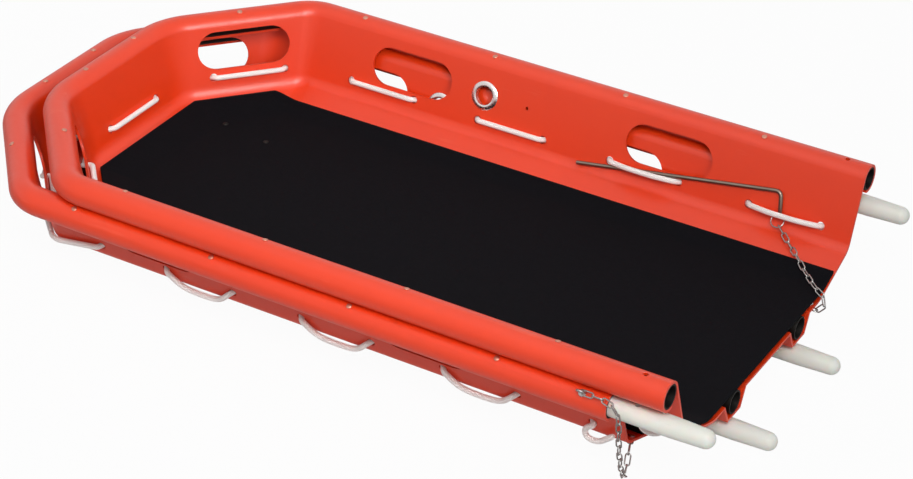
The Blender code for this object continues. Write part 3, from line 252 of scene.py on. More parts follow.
def light_studio():
    world = bpy.data.worlds.new("studio")
    world.use_nodes = True
    bpy.context.scene.world = world
    tree = world.node_tree
    tree.nodes.clear()
    dim, full = (
        put(tree, "ShaderNodeBackground", {"Color": WHITE, "Strength": strength}).outputs[0]
        for strength in (0.36, 1.0)
    )
    mix = put(tree, "ShaderNodeMixShader", {0: seen_ray(tree, "Is Glossy Ray"), 1: dim, 2: full})
    put(tree, "ShaderNodeOutputWorld", {"Surface": mix.outputs[0]})
    add_softbox("overhead_softbox", (-0.6, -0.6, 2.6), (0, 0, 0.1), (2.2, 1.6), 4)
    add_softbox("front_softbox", (2.3, -4.0, 4.7), (0, 0, 0.1), (2.2, 1.6), 180)
    add_softbox("closed_end_softbox", (2.0, -1.6, 1.9), (-0.55, 0.15, 0.1), (0.8, 0.6), 2.0, 35)


def add_floor():
    bm = bmesh.new()
    bmesh.ops.create_grid(bm, x_segments=1, y_segments=1, size=8)
    floor = link_mesh("floor", bm)
    paint = bpy.data.materials.new("pale_floor")
    paint.use_nodes = True
    tree = paint.node_tree
    tree.nodes.clear()
    matt = put(tree, "ShaderNodeBsdfDiffuse", {"Color": (0.62, 0.62, 0.62, 1)})
    glow = put(tree, "ShaderNodeEmission", {"Color": WHITE})
    share = reckon(tree, "MULTIPLY", seen_ray(tree, "Is Transmission Ray"), 0.96)
    mix = put(tree, "ShaderNodeMixShader", {0: share, 1: matt.outputs[0], 2: glow.outputs[0]})
    put(tree, "ShaderNodeOutputMaterial", {"Surface": mix.outputs[0]})
    floor.data.materials.append(paint)
    floor.location.z = -0.0005


# Small makers of meshes.
def link_object(name, data):
    obj = bpy.data.objects.new(name, data)
    bpy.context.scene.collection.objects.link(obj)
    return obj


def link_mesh(name, bm):
    mesh = bpy.data.meshes.new(name)
    bm.to_mesh(mesh)
    bm.free()
    return link_object(name, mesh)


def shade(obj, sharp_angle):
    obj.data.shade_smooth()
    obj.data.set_sharp_from_angle(angle=math.radians(sharp_angle))


def finish_mesh(name, bm, finish):
    """A smooth painted piece, with its sharp edges kept, from the shape in bm."""
    bmesh.ops.remove_doubles(bm, verts=bm.verts, dist=1e-6)
    bmesh.ops.recalc_face_normals(bm, faces=bm.faces)
    obj = link_mesh(name, bm)
    shade(obj, 35)
    obj.data.materials.append(finish)
    return obj


def make(name, finish, maker, *shape, **more):
    """A piece of one shape from its maker, such as add_loft or add_sweep."""
    bm = bmesh.new()
    maker(bm, *shape, **more)
    return finish_mesh(name, bm, finish)


def plain_copy(obj):
    """Turns the object's modifiers into its mesh."""
    bpy.context.view_layer.update()
    graph = bpy.context.evaluated_depsgraph_get()
    mesh = bpy.data.meshes.new_from_object(obj.evaluated_get(graph), depsgraph=graph)
    obj.modifiers.clear()
    obj.data = mesh
    return obj


def cut(obj, bm, operation="DIFFERENCE"):
    """Cuts or joins the shape in bm, and leaves a plain mesh."""
    bmesh.ops.recalc_face_normals(bm, faces=bm.faces)
    tool = link_mesh("tool", bm)
    step = obj.modifiers.new("cut", "BOOLEAN")
    step.operation = operation
    step.object = tool
    step.solver = "EXACT"
    plain_copy(obj)
    bpy.data.objects.remove(tool)


def drill(obj, rods):
    """Cuts round holes, each given as a rod's (start, finish, radius)."""
    bm = bmesh.new()
    for start, finish, radius in rods:
        add_rod(bm, start, finish, radius)
    cut(obj, bm)


def round_edges(obj, width):
    soften = obj.modifiers.new("rounded_edges", "BEVEL")
    soften.width = width
    soften.segments = 3
    soften.limit_method = "ANGLE"
    soften.angle_limit = math.radians(50)
    plain_copy(obj)


def settle(obj, half, node, body=None):
    """Moves a piece from its half's frame to its place, and has it ride and stand for its solid."""
    shade(obj, 40)
    obj.data.transform(Matrix.Translation(HALVES[half]))
    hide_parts(node)
    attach(obj, body or f"{half}_half")


def new_rows(bm, rows):
    """The vertices of rows of points."""
    return [[bm.verts.new(p) for p in row] for row in rows]


def bridge(bm, rows):
    """Faces between like rows of points, each open at its ends."""
    for low, high in zip(rows, rows[1:]):
        for i in range(len(low) - 1):
            bm.faces.new((low[i], low[i + 1], high[i + 1], high[i]))


def add_loft(bm, sections, close_ends=True):
    """A skin through closed sections, all of as many points or of just one."""
    rows = new_rows(bm, sections)
    for low, high in zip(rows, rows[1:]):
        sides = max(len(low), len(high))
        for k in range(sides):
            j = (k + 1) % sides
            corners = [row[i % len(row)] for row, i in ((low, k), (low, j), (high, j), (high, k))]
            bm.faces.new(list(dict.fromkeys(corners)))
    for row in (rows[0], rows[-1]):
        if close_ends and len(row) > 1:
            bm.faces.new(row)


def circle(radius, sides):
    turns = [2 * math.pi * i / sides for i in range(sides)]
    return [(radius * math.cos(turn), radius * math.sin(turn)) for turn in turns]


def turned(foot, axis, profile, sides=ROUND_SIDES):
    """Sections round an axis from (radius, distance along it) pairs: a radius of 0 is a point."""
    turn = axis.to_track_quat("Z", "Y")
    sections = []
    for radius, height in profile:
        flat = circle(radius, sides) if radius else [(0, 0)]
        sections.append([foot + turn @ Vector((x, y, height)) for x, y in flat])
    return sections


def add_rod(bm, start, finish, radius, sides=24):
    turn = (finish - start).to_track_quat("Z", "Y")
    ring = [turn @ Vector((x, y, 0)) for x, y in circle(radius, sides)]
    add_loft(bm, [[start + p for p in ring], [finish + p for p in ring]])


def lengths_along(points):
    lengths = [0.0]
    for a, b in zip(points, points[1:]):
        lengths.append(lengths[-1] + (b - a).length)
    return lengths


def add_sweep(bm, points, radius, sides, closed=False, uv=None):
    """A round tube along points, with the least turning; uv takes (share round, metres along)."""
    count = len(points)
    headings = []
    for i in range(count):
        before = points[i - 1] if closed or i else points[0]
        after = points[(i + 1) % count] if closed or i < count - 1 else points[-1]
        headings.append((after - before).normalized())
    side = headings[0].orthogonal().normalized()
    rows = []
    for i, (point, heading) in enumerate(zip(points, headings)):
        if i:
            side = headings[i - 1].rotation_difference(heading) @ side
            side = (side - heading * side.dot(heading)).normalized()
        other = heading.cross(side)
        size = radius[i] if isinstance(radius, list) else radius
        rows.append([bm.verts.new(point + side * x + other * y) for x, y in circle(size, sides)])
    along = lengths_along(points)
    pairs = [(i, i + 1) for i in range(count - 1)] + ([(count - 1, 0)] if closed else [])
    for low, high in pairs:
        for k in range(sides):
            j = (k + 1) % sides
            face = bm.faces.new((rows[low][k], rows[low][j], rows[high][j], rows[high][k]))
            if uv:
                corners = ((k, low), (k + 1, low), (k + 1, high), (k, high))
                for loop, (around, row) in zip(face.loops, corners):
                    loop[uv].uv = (around / sides, along[row])
    if not closed:
        bm.faces.new(rows[0])
        bm.faces.new(rows[-1])


def step_from(point, towards, distance):
    return point + (towards - point).normalized() * distance


def round_corner(start, corner, finish, steps):
    shares = [i / steps for i in range(steps + 1)]
    return [start * (1 - t) ** 2 + corner * (2 * t * (1 - t)) + finish * t * t for t in shares]


def rounded(points, steps):
    """A route of (point, reach) with each corner rounded as far as its reach."""
    route = [points[0][0]]
    for (before, _), (corner, reach), (after, _) in zip(points, points[1:], points[2:]):
        start, finish = (
            step_from(corner, end, min(reach, (end - corner).length * 0.49))
            for end in (before, after)
        )
        route += round_corner(start, corner, finish, steps)
    route.append(points[-1][0])
    return route


def evened(points, spacing):
    """Points at even steps along a route."""
    lengths = lengths_along(points)
    targets = np.linspace(0, lengths[-1], max(2, round(lengths[-1] / spacing)) + 1)
    columns = [np.interp(targets, lengths, [p[axis] for p in points]) for axis in range(3)]
    return [Vector(p) for p in zip(*columns)]


# The halves' own shapes.
def flat(x, y):
    return Vector((x, y))


def wall_inset(height, draft):
    """How far a steep wall's inner face lies inside the gunwale's centre at a height."""
    tangent_inset = RIM_RADIUS * math.cos(draft)
    tangent_height = GUNWALE_HEIGHT + RIM_RADIUS * math.sin(draft)
    return tangent_inset + (tangent_height - height) * math.tan(draft)


def wall_section(draft, bend_height, foot, reach, lower_reach, wide_reach):
    """A wall's inner face as (inset, height) points: lip, steep wall, bend, lower wall, foot."""
    points = []
    steps = 24
    for i in range(steps + 1):
        angle = draft + LIP_WRAP * (steps - i) / steps
        points.append(flat(math.cos(angle), math.sin(angle)) * RIM_RADIUS + flat(0, GUNWALE_HEIGHT))
    bend = flat(wall_inset(bend_height, draft), bend_height)
    top = step_from(bend, points[-1], reach)
    points += round_corner(top, bend, step_from(bend, foot, lower_reach), 8)
    above = step_from(foot, bend, wide_reach)
    return points + round_corner(above, foot, foot + flat(wide_reach, 0), 8)


def wall_sections():
    foot = flat(GUNWALE_Y - FLOOR_HALF_WIDTH, FLOOR_HEIGHT)
    side = wall_section(WALL_DRAFT, BEND_HEIGHT, foot, BEND_REACH, BEND_REACH, BEND_REACH)
    foot = flat(END_FOOT, FLOOR_HEIGHT)
    reaches = (END_BEND_REACH, BEND_REACH, END_BEND_REACH)
    return side, wall_section(END_DRAFT, END_BEND_HEIGHT, foot, *reaches)


def offset_section(points, distance):
    """The same section moved along its normal, to the shell's outer side."""
    runs = [after - before for before, after in zip(points[:1] + points, points[1:])]
    runs = [run.normalized() for run in runs] + [flat(1, 0)]
    return [point + flat(run.y, -run.x) * distance for point, run in zip(points, runs)]


def meet(point, along, other, other_along):
    return point + along * ((other - point).cross(other_along) / along.cross(other_along))


def chamfer_frame():
    """The far chamfer: its closed-end corner, its direction, its inward normal and its length."""
    run = flat(HALF_LENGTH - CHAMFER_START, GUNWALE_Y - END_WIDTH / 2)
    along = run.normalized()
    return flat(-HALF_LENGTH, END_WIDTH / 2), along, flat(along.y, -along.x), run.length


def corner_arc(before, corner, after, radius, steps):
    """The points of a round corner of a true radius."""
    to_before, to_after = (before - corner).normalized(), (after - corner).normalized()
    half = to_before.angle(to_after) / 2
    centre = corner + (to_before + to_after).normalized() * (radius / math.sin(half))
    reach = radius / math.tan(half)
    start, finish = corner + to_before * reach - centre, corner + to_after * reach - centre
    turn = start.angle_signed(finish)
    return [centre + start @ Matrix.Rotation(turn * i / steps, 2) for i in range(steps + 1)]


def plan_ring(side_point, end_point, joint_x, corner_radius=None, end_step=0, run_out=0):
    """One level of a half as 3-D points, from the near joint end round to the far one."""
    corner, along, inward, _ = chamfer_frame()
    (inset, level), fall = end_point, side_point[1] - end_point[1]
    side_y = GUNWALE_Y - side_point[0]
    end = flat(-HALF_LENGTH + inset + end_step, 0)
    chamfer = corner + inward * inset
    side_corner = meet(chamfer, along, flat(0, side_y), flat(1, 0))
    end_corner = meet(chamfer, along, end, flat(0, 1))
    side_radius = corner_radius or max(SIDE_CORNER_RADIUS - inset, LEAST_CORNER_RADIUS)
    end_radius = corner_radius or max(END_CORNER_RADIUS - inset, LEAST_CORNER_RADIUS)
    bend = corner_arc(end, end_corner, side_corner, end_radius, CORNER_STEPS)
    points = [Vector((x, y, level)) for x, y in bend]
    bend = corner_arc(end_corner, side_corner, flat(joint_x, side_y), side_radius, CORNER_STEPS)
    for i, (x, y) in enumerate(bend):
        share = 0 if run_out else i / CORNER_STEPS
        points.append(Vector((x, y, level + fall * share)))
    if run_out:
        for i in range(1, 7):
            t = i / 6
            share = t * t * (3 - 2 * t)
            points.append(Vector((bend[-1].x + run_out * t, side_y, level + fall * share)))
    points.append(Vector((joint_x, side_y, side_point[1])))
    return [Vector((p.x, -p.y, p.z)) for p in reversed(points)] + points


def add_tray(bm, upper_levels, lower_levels, joint_x, **plan):
    """A closed tray between an upper and a lower face, each given as (side, end) levels."""
    skins = []
    for levels in (upper_levels, lower_levels):
        rows = new_rows(bm, [plan_ring(side, end, joint_x, **plan) for side, end in levels])
        bridge(bm, rows)
        bm.faces.new(rows[-1])
        skins.append(rows)
    upper, lower = skins
    bridge(bm, [upper[0], lower[0]])
    for i in range(len(upper) - 1):
        for end in (0, -1):
            bm.faces.new((upper[i][end], upper[i + 1][end], lower[i + 1][end], lower[i][end]))
    bm.faces.new((upper[-1][0], upper[-1][-1], lower[-1][-1], lower[-1][0]))


def half_point(place, side, inset, z):
    """A point of a half at a place along its wall, inset from the gunwale's centre line."""
    kind, where = place
    if kind == "long":
        return Vector((-where, side * (GUNWALE_Y - inset), z))
    if kind == "end":
        return Vector((-HALF_LENGTH + inset, where, z))
    corner, along, inward, length = chamfer_frame()
    x, y = corner + along * (length / 2 + where) + inward * inset
    return Vector((x, side * y, z))


def wall_point(place, side, level, depth):
    """A point on a wall: depth is from its inner face, along its normal, into the basket."""
    draft = WALL_DRAFT if place[0] == "long" else END_DRAFT
    inset = wall_inset(level, draft) + depth * math.cos(draft)
    return half_point(place, side, inset, level + depth * math.sin(draft))


def wall_axes(place, side, level):
    """The wall's own directions there: along it, up it and out of its inner face."""
    out = (wall_point(place, side, level, 0.01) - wall_point(place, side, level, 0)).normalized()
    up = (wall_point(place, side, level + 0.01, 0) - wall_point(place, side, level, 0)).normalized()
    return up.cross(out), up, out


def rim_point(place, side, tilt, radius):
    """A point round the gunwale tube: tilt is measured from straight up, outwards."""
    height = GUNWALE_HEIGHT + radius * math.cos(tilt)
    return half_point(place, side, -radius * math.sin(tilt), height)


def rivet_places(tilt):
    """Every rim rivet of a half as (place, side, tilt)."""
    places = []
    for side in (-1, 1):
        places += [(("long", where), side, tilt) for where in RIVETS_FROM_JOINT]
        places.append((("chamfer", 0.0), side, tilt))
        places.append((("end", side * END_RIVET_OFFSET), side, END_RIVET_TILT))
    return places


def rope_holes():
    """Every rope hole of a half in the rope's order, as (place, side)."""
    reach = ROPE_HOLE_PITCH / 2
    near = [
        (("long", ROPE_FIRST_HOLE + i * ROPE_HOLE_PITCH), -1) for i in range(ROPE_SIDE_HOLES)
    ]
    near.append((("chamfer", ROPE_CHAMFER_SHIFT + reach), -1))
    near.append((("chamfer", ROPE_CHAMFER_SHIFT - reach), -1))
    near.append((("end", -reach), -1))
    far = [((kind, -where if kind == "end" else where), 1) for (kind, where), _ in reversed(near)]
    return near + far


def channel_section(x, side, wall, top):
    slope = (CHANNEL_TOP - CHANNEL_BOTTOM) / 2 / (FLOOR_HEIGHT - SHELL_WALL)
    widen = wall * math.hypot(1, slope)
    low = SHELL_WALL - wall
    half_low = CHANNEL_BOTTOM / 2 + (low - SHELL_WALL) * slope + widen
    half_high = CHANNEL_BOTTOM / 2 + (top - SHELL_WALL) * slope + widen
    outline = ((-half_low, low), (half_low, low), (half_high, top), (-half_high, top))
    return [Vector((x, side * RUNNER_Y + y, z)) for y, z in outline]


def add_channel(bm, side, wall, top, joint_x):
    rise = (top - SHELL_WALL + wall) / (FLOOR_HEIGHT - SHELL_WALL) * CHANNEL_END_SLOPE
    closed = channel_section(-CHANNEL_LENGTH - wall, side, wall, top)
    for point in closed[2:]:
        point.x -= rise
    add_loft(bm, [closed, channel_section(joint_x, side, wall, top)])


def add_slot(bm, place, side, level, length, height):
    along, up, out = wall_axes(place, side, level)
    middle = wall_point(place, side, level, 0)
    outline = []
    for end in (1, -1):
        for i in range(17):
            angle = math.pi * (i / 16 - 0.5)
            x = (length - height) / 2 + height / 2 * math.cos(angle)
            outline.append(along * (end * x) + up * (end * height / 2 * math.sin(angle)))
    add_loft(bm, [
        [middle + p - out * (CUT_OVERRUN + SHELL_WALL) for p in outline],
        [middle + p + out * CUT_OVERRUN for p in outline],
    ])


def add_wall_hole(bm, place, side, level, diameter):
    start = wall_point(place, side, level, -SHELL_WALL - CUT_OVERRUN)
    add_rod(bm, start, wall_point(place, side, level, CUT_OVERRUN), diameter / 2, 20)


def rim_lock_holes(half, reach):
    """The lock holes through a half's gunwale, one on each side, as rods."""
    tilt = LOCK_PIN_TILT if half == "lower" else 0.0
    rods = []
    for side, _ in SIDES:
        ends = [rim_point(("long", LOCK_FROM_JOINT), side, tilt, r) for r in (-reach, reach)]
        rods.append((*ends, LOCK_HOLE_RADIUS))
    return rods


def build_shell(half, finish):
    """One half's moulded shell, with rounded edges at its rim and holes.

    Its shapes run on past the joint end, where one block then trims them all flush.
    """
    side, end = wall_sections()
    outer = list(zip(offset_section(side, SHELL_WALL), offset_section(end, SHELL_WALL)))
    shell = make(f"{half}_shell_skin", finish, add_tray, list(zip(side, end)), outer, 0.010)
    for wall, top, joint_x, operation in (
        (SHELL_WALL, FLOOR_HEIGHT - SHELL_WALL / 2, 0.008, "UNION"),
        (0, FLOOR_HEIGHT + 0.010, 0.030, "DIFFERENCE"),
    ):
        bm = bmesh.new()
        for y_side, _ in SIDES:
            add_channel(bm, y_side, wall, top, joint_x)
        cut(shell, bm, operation)
    bm = bmesh.new()
    trim = [(0, -1), (0.1, -1), (0.1, 1), (0, 1)]
    add_loft(bm, [[Vector((x, y, z)) for x, y in trim] for z in (-0.1, 0.4)])
    cut(shell, bm)

    bm = bmesh.new()
    slots = [("long", where, HANDHOLD_LEVEL, HANDHOLD_LENGTH) for where in HANDHOLDS_FROM_JOINT]
    slots.append(("chamfer", 0.0, CHAMFER_HANDHOLD_LEVEL, CHAMFER_HANDHOLD_LENGTH))
    for y_side, _ in SIDES:
        for kind, where, level, length in slots:
            add_slot(bm, (kind, where), y_side, level, length, HANDHOLD_HEIGHT)
        add_wall_hole(bm, ("long", GROMMET_FROM_JOINT), y_side, GROMMET_LEVEL, GROMMET_HOLE)
        add_wall_hole(bm, ("long", SCREW_HOLE_FROM_JOINT), y_side, GROMMET_LEVEL, SCREW_HOLE)
    for place, y_side in rope_holes():
        add_wall_hole(bm, place, y_side, ROPE_LEVEL, ROPE_HOLE_DIAMETER)
    cut(shell, bm)
    rods = rim_lock_holes(half, RIM_RADIUS + 0.004)
    seat, out = anchor_frame(half)
    start, finish = seat - out * CUT_OVERRUN, seat + out * (SHELL_WALL + CUT_OVERRUN)
    rods.append((start, finish, ANCHOR_SHANK / 2 + FIT_GAP))
    if half == "upper":
        middle = Vector((-LOCK_FROM_JOINT, 0, RUNNER_HEIGHT))
        reach = Vector((0, RUNNER_Y + CHANNEL_TOP, 0))
        rods.append((middle - reach, middle + reach, LOCK_HOLE_RADIUS))
    drill(shell, rods)
    round_edges(shell, SHELL_EDGE_RADIUS)
    even = shell.modifiers.new("even_shading", "WEIGHTED_NORMAL")
    even.keep_sharp = True
    even.weight = 60
    settle(shell, half, f"{half}_shell")


def mat_bend(section, edge):
    """A mat's bend from its edge down a wall to its flat, rounded at the foot."""
    high, low = section[-10], section[-9]
    slope = (high.y - low.y) / (low.x - high.x)
    edge = flat(edge, low.y + (low.x - edge) * slope + 2 * FIT_GAP)
    foot = flat(low.x + (low.y - MAT_BASE) / slope + MAT_FOOT_GAP, MAT_BASE)
    above = step_from(foot, edge, MAT_FOOT_REACH)
    return [edge] + round_corner(above, foot, foot + flat(MAT_FOOT_REACH, 0), 5)


def build_mat(half, finish):
    """The floor mat: a foam sheet, flat over the runners and turned up against the walls."""
    side, end = wall_sections()
    bends = mat_bend(side, GUNWALE_Y - MAT_EDGE), mat_bend(end, MAT_CHAMFER_EDGE)
    levels = list(zip(*bends))
    lift = flat(0, MAT_THICKNESS)
    raised = [(side_point + lift, end_point + lift) for side_point, end_point in levels]
    plan = {"corner_radius": MAT_CORNER_RADIUS, "end_step": MAT_END_STEP, "run_out": MAT_RUN_OUT}
    mat = make(f"{half}_floor_mat", finish, add_tray, raised, levels, -MAT_END_GAP, **plan)
    round_edges(mat, MAT_EDGE_RADIUS)
    mat.data.transform(Matrix.Translation(HALVES[half]))
    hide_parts(f"{half}_mat")
    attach(mat, f"{half}_half")


def build_tubes(half, finish):
    """The bent gunwale tube and the two straight runner tubes."""
    bm = bmesh.new()
    skins = []
    for radius in (TUBE_RADIUS, TUBE_BORE):
        points = [(x, GUNWALE_HEIGHT + y) for x, y in circle(radius, ROUND_SIDES)]
        rows = new_rows(bm, [plan_ring(point, point, -FIT_GAP) for point in points])
        bridge(bm, rows + rows[:1])
        skins.append(rows)
    outer, inner = skins
    for end in (0, -1):
        for i in range(ROUND_SIDES):
            j = (i + 1) % ROUND_SIDES
            bm.faces.new((outer[i][end], outer[j][end], inner[j][end], inner[i][end]))
    pipe = finish_mesh(f"{half}_gunwale_pipe", bm, finish)
    drill(pipe, rim_lock_holes(half, LOCK_HOLE_REACH))
    settle(pipe, half, f"{half}_gunwale_tube")
    length = CHANNEL_LENGTH - RUNNER_TUBE_GAP - FIT_GAP
    for y_side, word in SIDES:
        start = Vector((-CHANNEL_LENGTH + RUNNER_TUBE_GAP, y_side * RUNNER_Y, RUNNER_HEIGHT))
        profile = [(TUBE_RADIUS, 0), (TUBE_RADIUS, length), (TUBE_BORE, length), (TUBE_BORE, 0)]
        sections = turned(start, ALONG, profile + profile[:1])
        pipe = make(f"{half}_runner_pipe_{word}", finish, add_loft, sections, close_ends=False)
        middle = Vector((-LOCK_FROM_JOINT, y_side * RUNNER_Y, RUNNER_HEIGHT))
        drill(pipe, [(middle - ACROSS * 0.03, middle + ACROSS * 0.03, LOCK_HOLE_RADIUS)])
        settle(pipe, half, f"{half}_runner_tube_{word}")


def build_grommets(half, finish):
    """Pressed steel eyelets with rolled flanges, one in each long wall."""
    bore, flange, seat = GROMMET_BORE / 2, GROMMET_FLANGE / 2, SHELL_WALL / 2 + FIT_GAP
    rolled = [(bore, 0), (bore, seat * 0.9)]
    for i in range(9):
        t = i / 8
        crown = seat + GROMMET_ROLL * math.sin(math.pi * (0.18 + 0.82 * t) ** 0.8) ** 0.7
        rolled.append((bore + (flange - bore) * t, max(crown, seat + 0.0002)))
    rolled += [(flange, seat), (bore + GROMMET_WALL, seat)]
    profile = rolled + [(radius, -height) for radius, height in reversed(rolled[1:])]
    for side, word in SIDES:
        where = ("long", GROMMET_FROM_JOINT)
        along, up, out = wall_axes(where, side, GROMMET_LEVEL)
        middle = wall_point(where, side, GROMMET_LEVEL, -SHELL_WALL / 2)
        sections = []
        for x, y in circle(1, 40):
            spoke = along * x + up * y
            sections.append([middle + spoke * radius + out * height for radius, height in profile])
        sections.append(sections[0])
        eyelet = make(f"{half}_eyelet_{word}", finish, add_loft, sections, close_ends=False)
        settle(eyelet, half, f"{half}_grommet_{word}")


def rope_curl(side, outer):
    """The rope's free end, curled below its first hole."""
    return [
        (wall_point(("long", where), side, ROPE_LEVEL - drop, outer - off), 0.006)
        for where, drop, off in ROPE_END_CURL
    ]


def rope_route(bowed):
    """The lashing rope's corners with their reach: in at a hole, along inside, out at the next."""
    holes = rope_holes()
    inner, outer = ROPE_STAND_OFF, -SHELL_WALL - ROPE_STAND_OFF
    points = rope_curl(-1, outer)
    for index, (place, side) in enumerate(holes):
        entering = index % 2 == 0
        partner = holes[index + 1] if entering else holes[index - 1]
        here, there = (wall_point(*hole, ROPE_LEVEL, 0) for hole in (holes[index], partner))
        lead = (there - here).normalized() * ROPE_LEAD
        inside = (wall_point(place, side, ROPE_LEVEL, inner) + lead, 0.004)
        outside = (wall_point(place, side, ROPE_LEVEL, outer) - lead, 0.004)
        if not entering:
            points += [inside, outside]
            if index < len(holes) - 1:
                points += outside_loop(holes[index], holes[index + 1], outer)
            continue
        points += [outside, inside]
        if index // 2 in bowed:
            here, there = (wall_point(*hole, ROPE_LEVEL, inner) for hole in (holes[index], partner))
            out = wall_axes(place, side, ROPE_LEVEL)[2] * ROPE_ARCH
            points += [(here.lerp(there, share) + out, 0.012) for share in (0.3, 0.7)]
    return points + rope_curl(1, outer)[::-1]


def outside_loop(hole, following, outer):
    """One sagging loop outside the shell."""
    (place, side), (next_place, _) = hole, following
    if place[0] == next_place[0]:
        points = []
        for share in (0.22, 0.5, 0.78):
            where = place[1] + (next_place[1] - place[1]) * share
            sag = ROPE_SAG * (1 - (2 * share - 1) ** 4)
            points.append((wall_point((place[0], where), side, ROPE_LEVEL - sag, outer), 0.016))
        return points
    level = ROPE_LEVEL - ROPE_SAG * 0.75
    drafts = (WALL_DRAFT, END_DRAFT)
    levels = [(wall_inset(level, draft) + outer / math.cos(draft), level) for draft in drafts]
    ring = plan_ring(*levels, 0)
    if "long" in (place[0], next_place[0]):
        first = 1 if side < 0 else len(ring) - CORNER_STEPS - 2
    else:
        first = CORNER_STEPS + 2 if side < 0 else len(ring) // 2
    return [(point, 0.004) for point in ring[first:first + CORNER_STEPS + 1]]


def build_rope(half, finish, bowed):
    """The braided lashing rope, with melted round ends."""
    line = evened(rounded(rope_route(bowed), 5), ROPE_STEP)
    radius = ROPE_DIAMETER / 2
    sizes = [radius] * len(line)
    for i, share in enumerate((0.45, 0.80, 0.95)):
        sizes[i] = sizes[-1 - i] = radius * share
    bm = bmesh.new()
    add_sweep(bm, line, sizes, 16, uv=bm.loops.layers.uv.new("braid"))
    rope = finish_mesh(f"{half}_rope", bm, finish)
    settle(rope, half, f"{half}_lashing_rope")


def build_spigots(finish, pin_finish):
    """The lower half's nylon joint spigots, with the pins that hold the runner ones."""
    radius = TUBE_BORE - FIT_GAP
    nose = SPIGOT_REACH - SPIGOT_TIP_RADIUS
    profile = [(0, -SPIGOT_ROOT), (radius - 0.001, -SPIGOT_ROOT), (radius, 0.002 - SPIGOT_ROOT)]
    profile += [(radius, SPIGOT_REACH - SPIGOT_TAPER), (SPIGOT_TIP_RADIUS, nose)]
    for i in range(1, 8):
        angle = math.pi / 2 * i / 8
        dome = SPIGOT_TIP_RADIUS * math.sin(angle)
        profile.append((SPIGOT_TIP_RADIUS * math.cos(angle), nose + dome))
    profile.append((0, SPIGOT_REACH))
    for kind, y, z in (("gunwale", GUNWALE_Y, GUNWALE_HEIGHT), ("runner", RUNNER_Y, RUNNER_HEIGHT)):
        for side, word in SIDES:
            middle = Vector((0, side * y, z))
            sections = turned(middle, ALONG, profile, 40)
            spigot = make(f"{kind}_plug_{word}", finish, add_loft, sections)
            tilted = Vector((0, side * math.sin(LOCK_PIN_TILT), math.cos(LOCK_PIN_TILT)))
            stow, lock = (tilted, UP) if kind == "gunwale" else (ACROSS, ACROSS)
            rods = []
            for x, axis in ((-LOCK_FROM_JOINT, stow), (LOCK_FROM_JOINT, lock)):
                place = middle + ALONG * x
                rods.append((place - axis * 0.02, place + axis * 0.02, LOCK_HOLE_RADIUS))
            drill(spigot, rods)
            settle(spigot, "lower", f"{kind}_spigot_{word}")
    reach = TUBE_RADIUS - 0.0005
    bar = [(0, -reach), (0.0026, -reach), (0.0032, 0.0006 - reach)]
    bar += [(radius, -height) for radius, height in reversed(bar)]
    for side, word in SIDES:
        place = Vector((-LOCK_FROM_JOINT, side * RUNNER_Y, RUNNER_HEIGHT))
        pin = make(f"runner_plug_pin_{word}", pin_finish, add_loft, turned(place, ACROSS, bar))
        settle(pin, "lower", f"runner_spigot_pin_{word}")


# Chains, pins and the locking rod.
def anchor_frame(half):
    """The chain anchor's seat on the shell's inner face, and its direction out of the shell."""
    y = ANCHOR_Y[half]
    if half == "upper":
        return Vector((-ANCHOR_FROM_JOINT, y, FLOOR_HEIGHT)), -UP
    bend_y = wall_inset(BEND_HEIGHT, WALL_DRAFT) - GUNWALE_Y
    run, rise = bend_y + FLOOR_HALF_WIDTH, BEND_HEIGHT - FLOOR_HEIGHT
    z = FLOOR_HEIGHT + rise * ((y + FLOOR_HALF_WIDTH) / run)
    slope = Vector((0, run, rise)).normalized()
    return Vector((-ANCHOR_FROM_JOINT, y, z)), Vector((0, -slope.z, slope.y))


def build_anchor(half, finish):
    """A shouldered bolt whose head holds the chain's last link outside the shell."""
    collar = ANCHOR_STAND_OFF + SHELL_WALL + 2 * FIT_GAP
    head, shank = ANCHOR_HEAD / 2, ANCHOR_SHANK / 2
    profile = [(0, -0.0025), (head * 0.5, -0.0024), (head - 0.0008, -0.0019), (head, -0.0010)]
    profile += [(head, -FIT_GAP), (shank, -FIT_GAP), (shank, collar), (head, collar)]
    profile += [(head, collar + 0.0008), (head * 0.7, collar + 0.0020), (0, collar + 0.0024)]
    bolt = make(f"{half}_chain_bolt", finish, add_loft, turned(*anchor_frame(half), profile))
    settle(bolt, half, f"{half}_chain_anchor")


def lock_pin_frame():
    """The stowed lock pin's middle, its direction and the middle of its eye."""
    centre, top = (rim_point(("long", LOCK_FROM_JOINT), -1, LOCK_PIN_TILT, r) for r in (0, 1))
    axis = top - centre
    eye = centre + axis * (RIM_RADIUS + FIT_GAP + LOCK_COLLAR_HEIGHT + LOCK_PIN_EYE)
    return centre, axis, eye


def build_lock_pin(finish):
    """The gunwale's lock pin in its stowage hole, with a collar and an eye for its chain."""
    centre, axis, eye = lock_pin_frame()
    foot, top = RIM_RADIUS + FIT_GAP, RIM_RADIUS + FIT_GAP + LOCK_COLLAR_HEIGHT
    tail = TUBE_RADIUS + 0.005
    shank, collar = LOCK_PIN_RADIUS, LOCK_COLLAR_RADIUS
    profile = [(0, -tail), (0.0018, -tail), (shank, 0.0014 - tail), (shank, foot)]
    profile += [(collar - 0.0002, foot), (collar, foot + 0.0003), (collar, foot + 0.0020)]
    profile += [(collar - 0.0006, top), (shank, foot + 0.0026), (0, foot + 0.0035)]
    pin = make("gunwale_pin", finish, add_loft, turned(centre, axis, profile))
    loop = [eye + axis * x + ALONG * y for x, y in circle(LOCK_PIN_EYE, 32)]
    bm = bmesh.new()
    add_sweep(bm, loop, EYE_WIRE / 2, 14, closed=True)
    cut(pin, bm, "UNION")
    settle(pin, "lower", "gunwale_lock_pin", "gunwale_lock_pin")


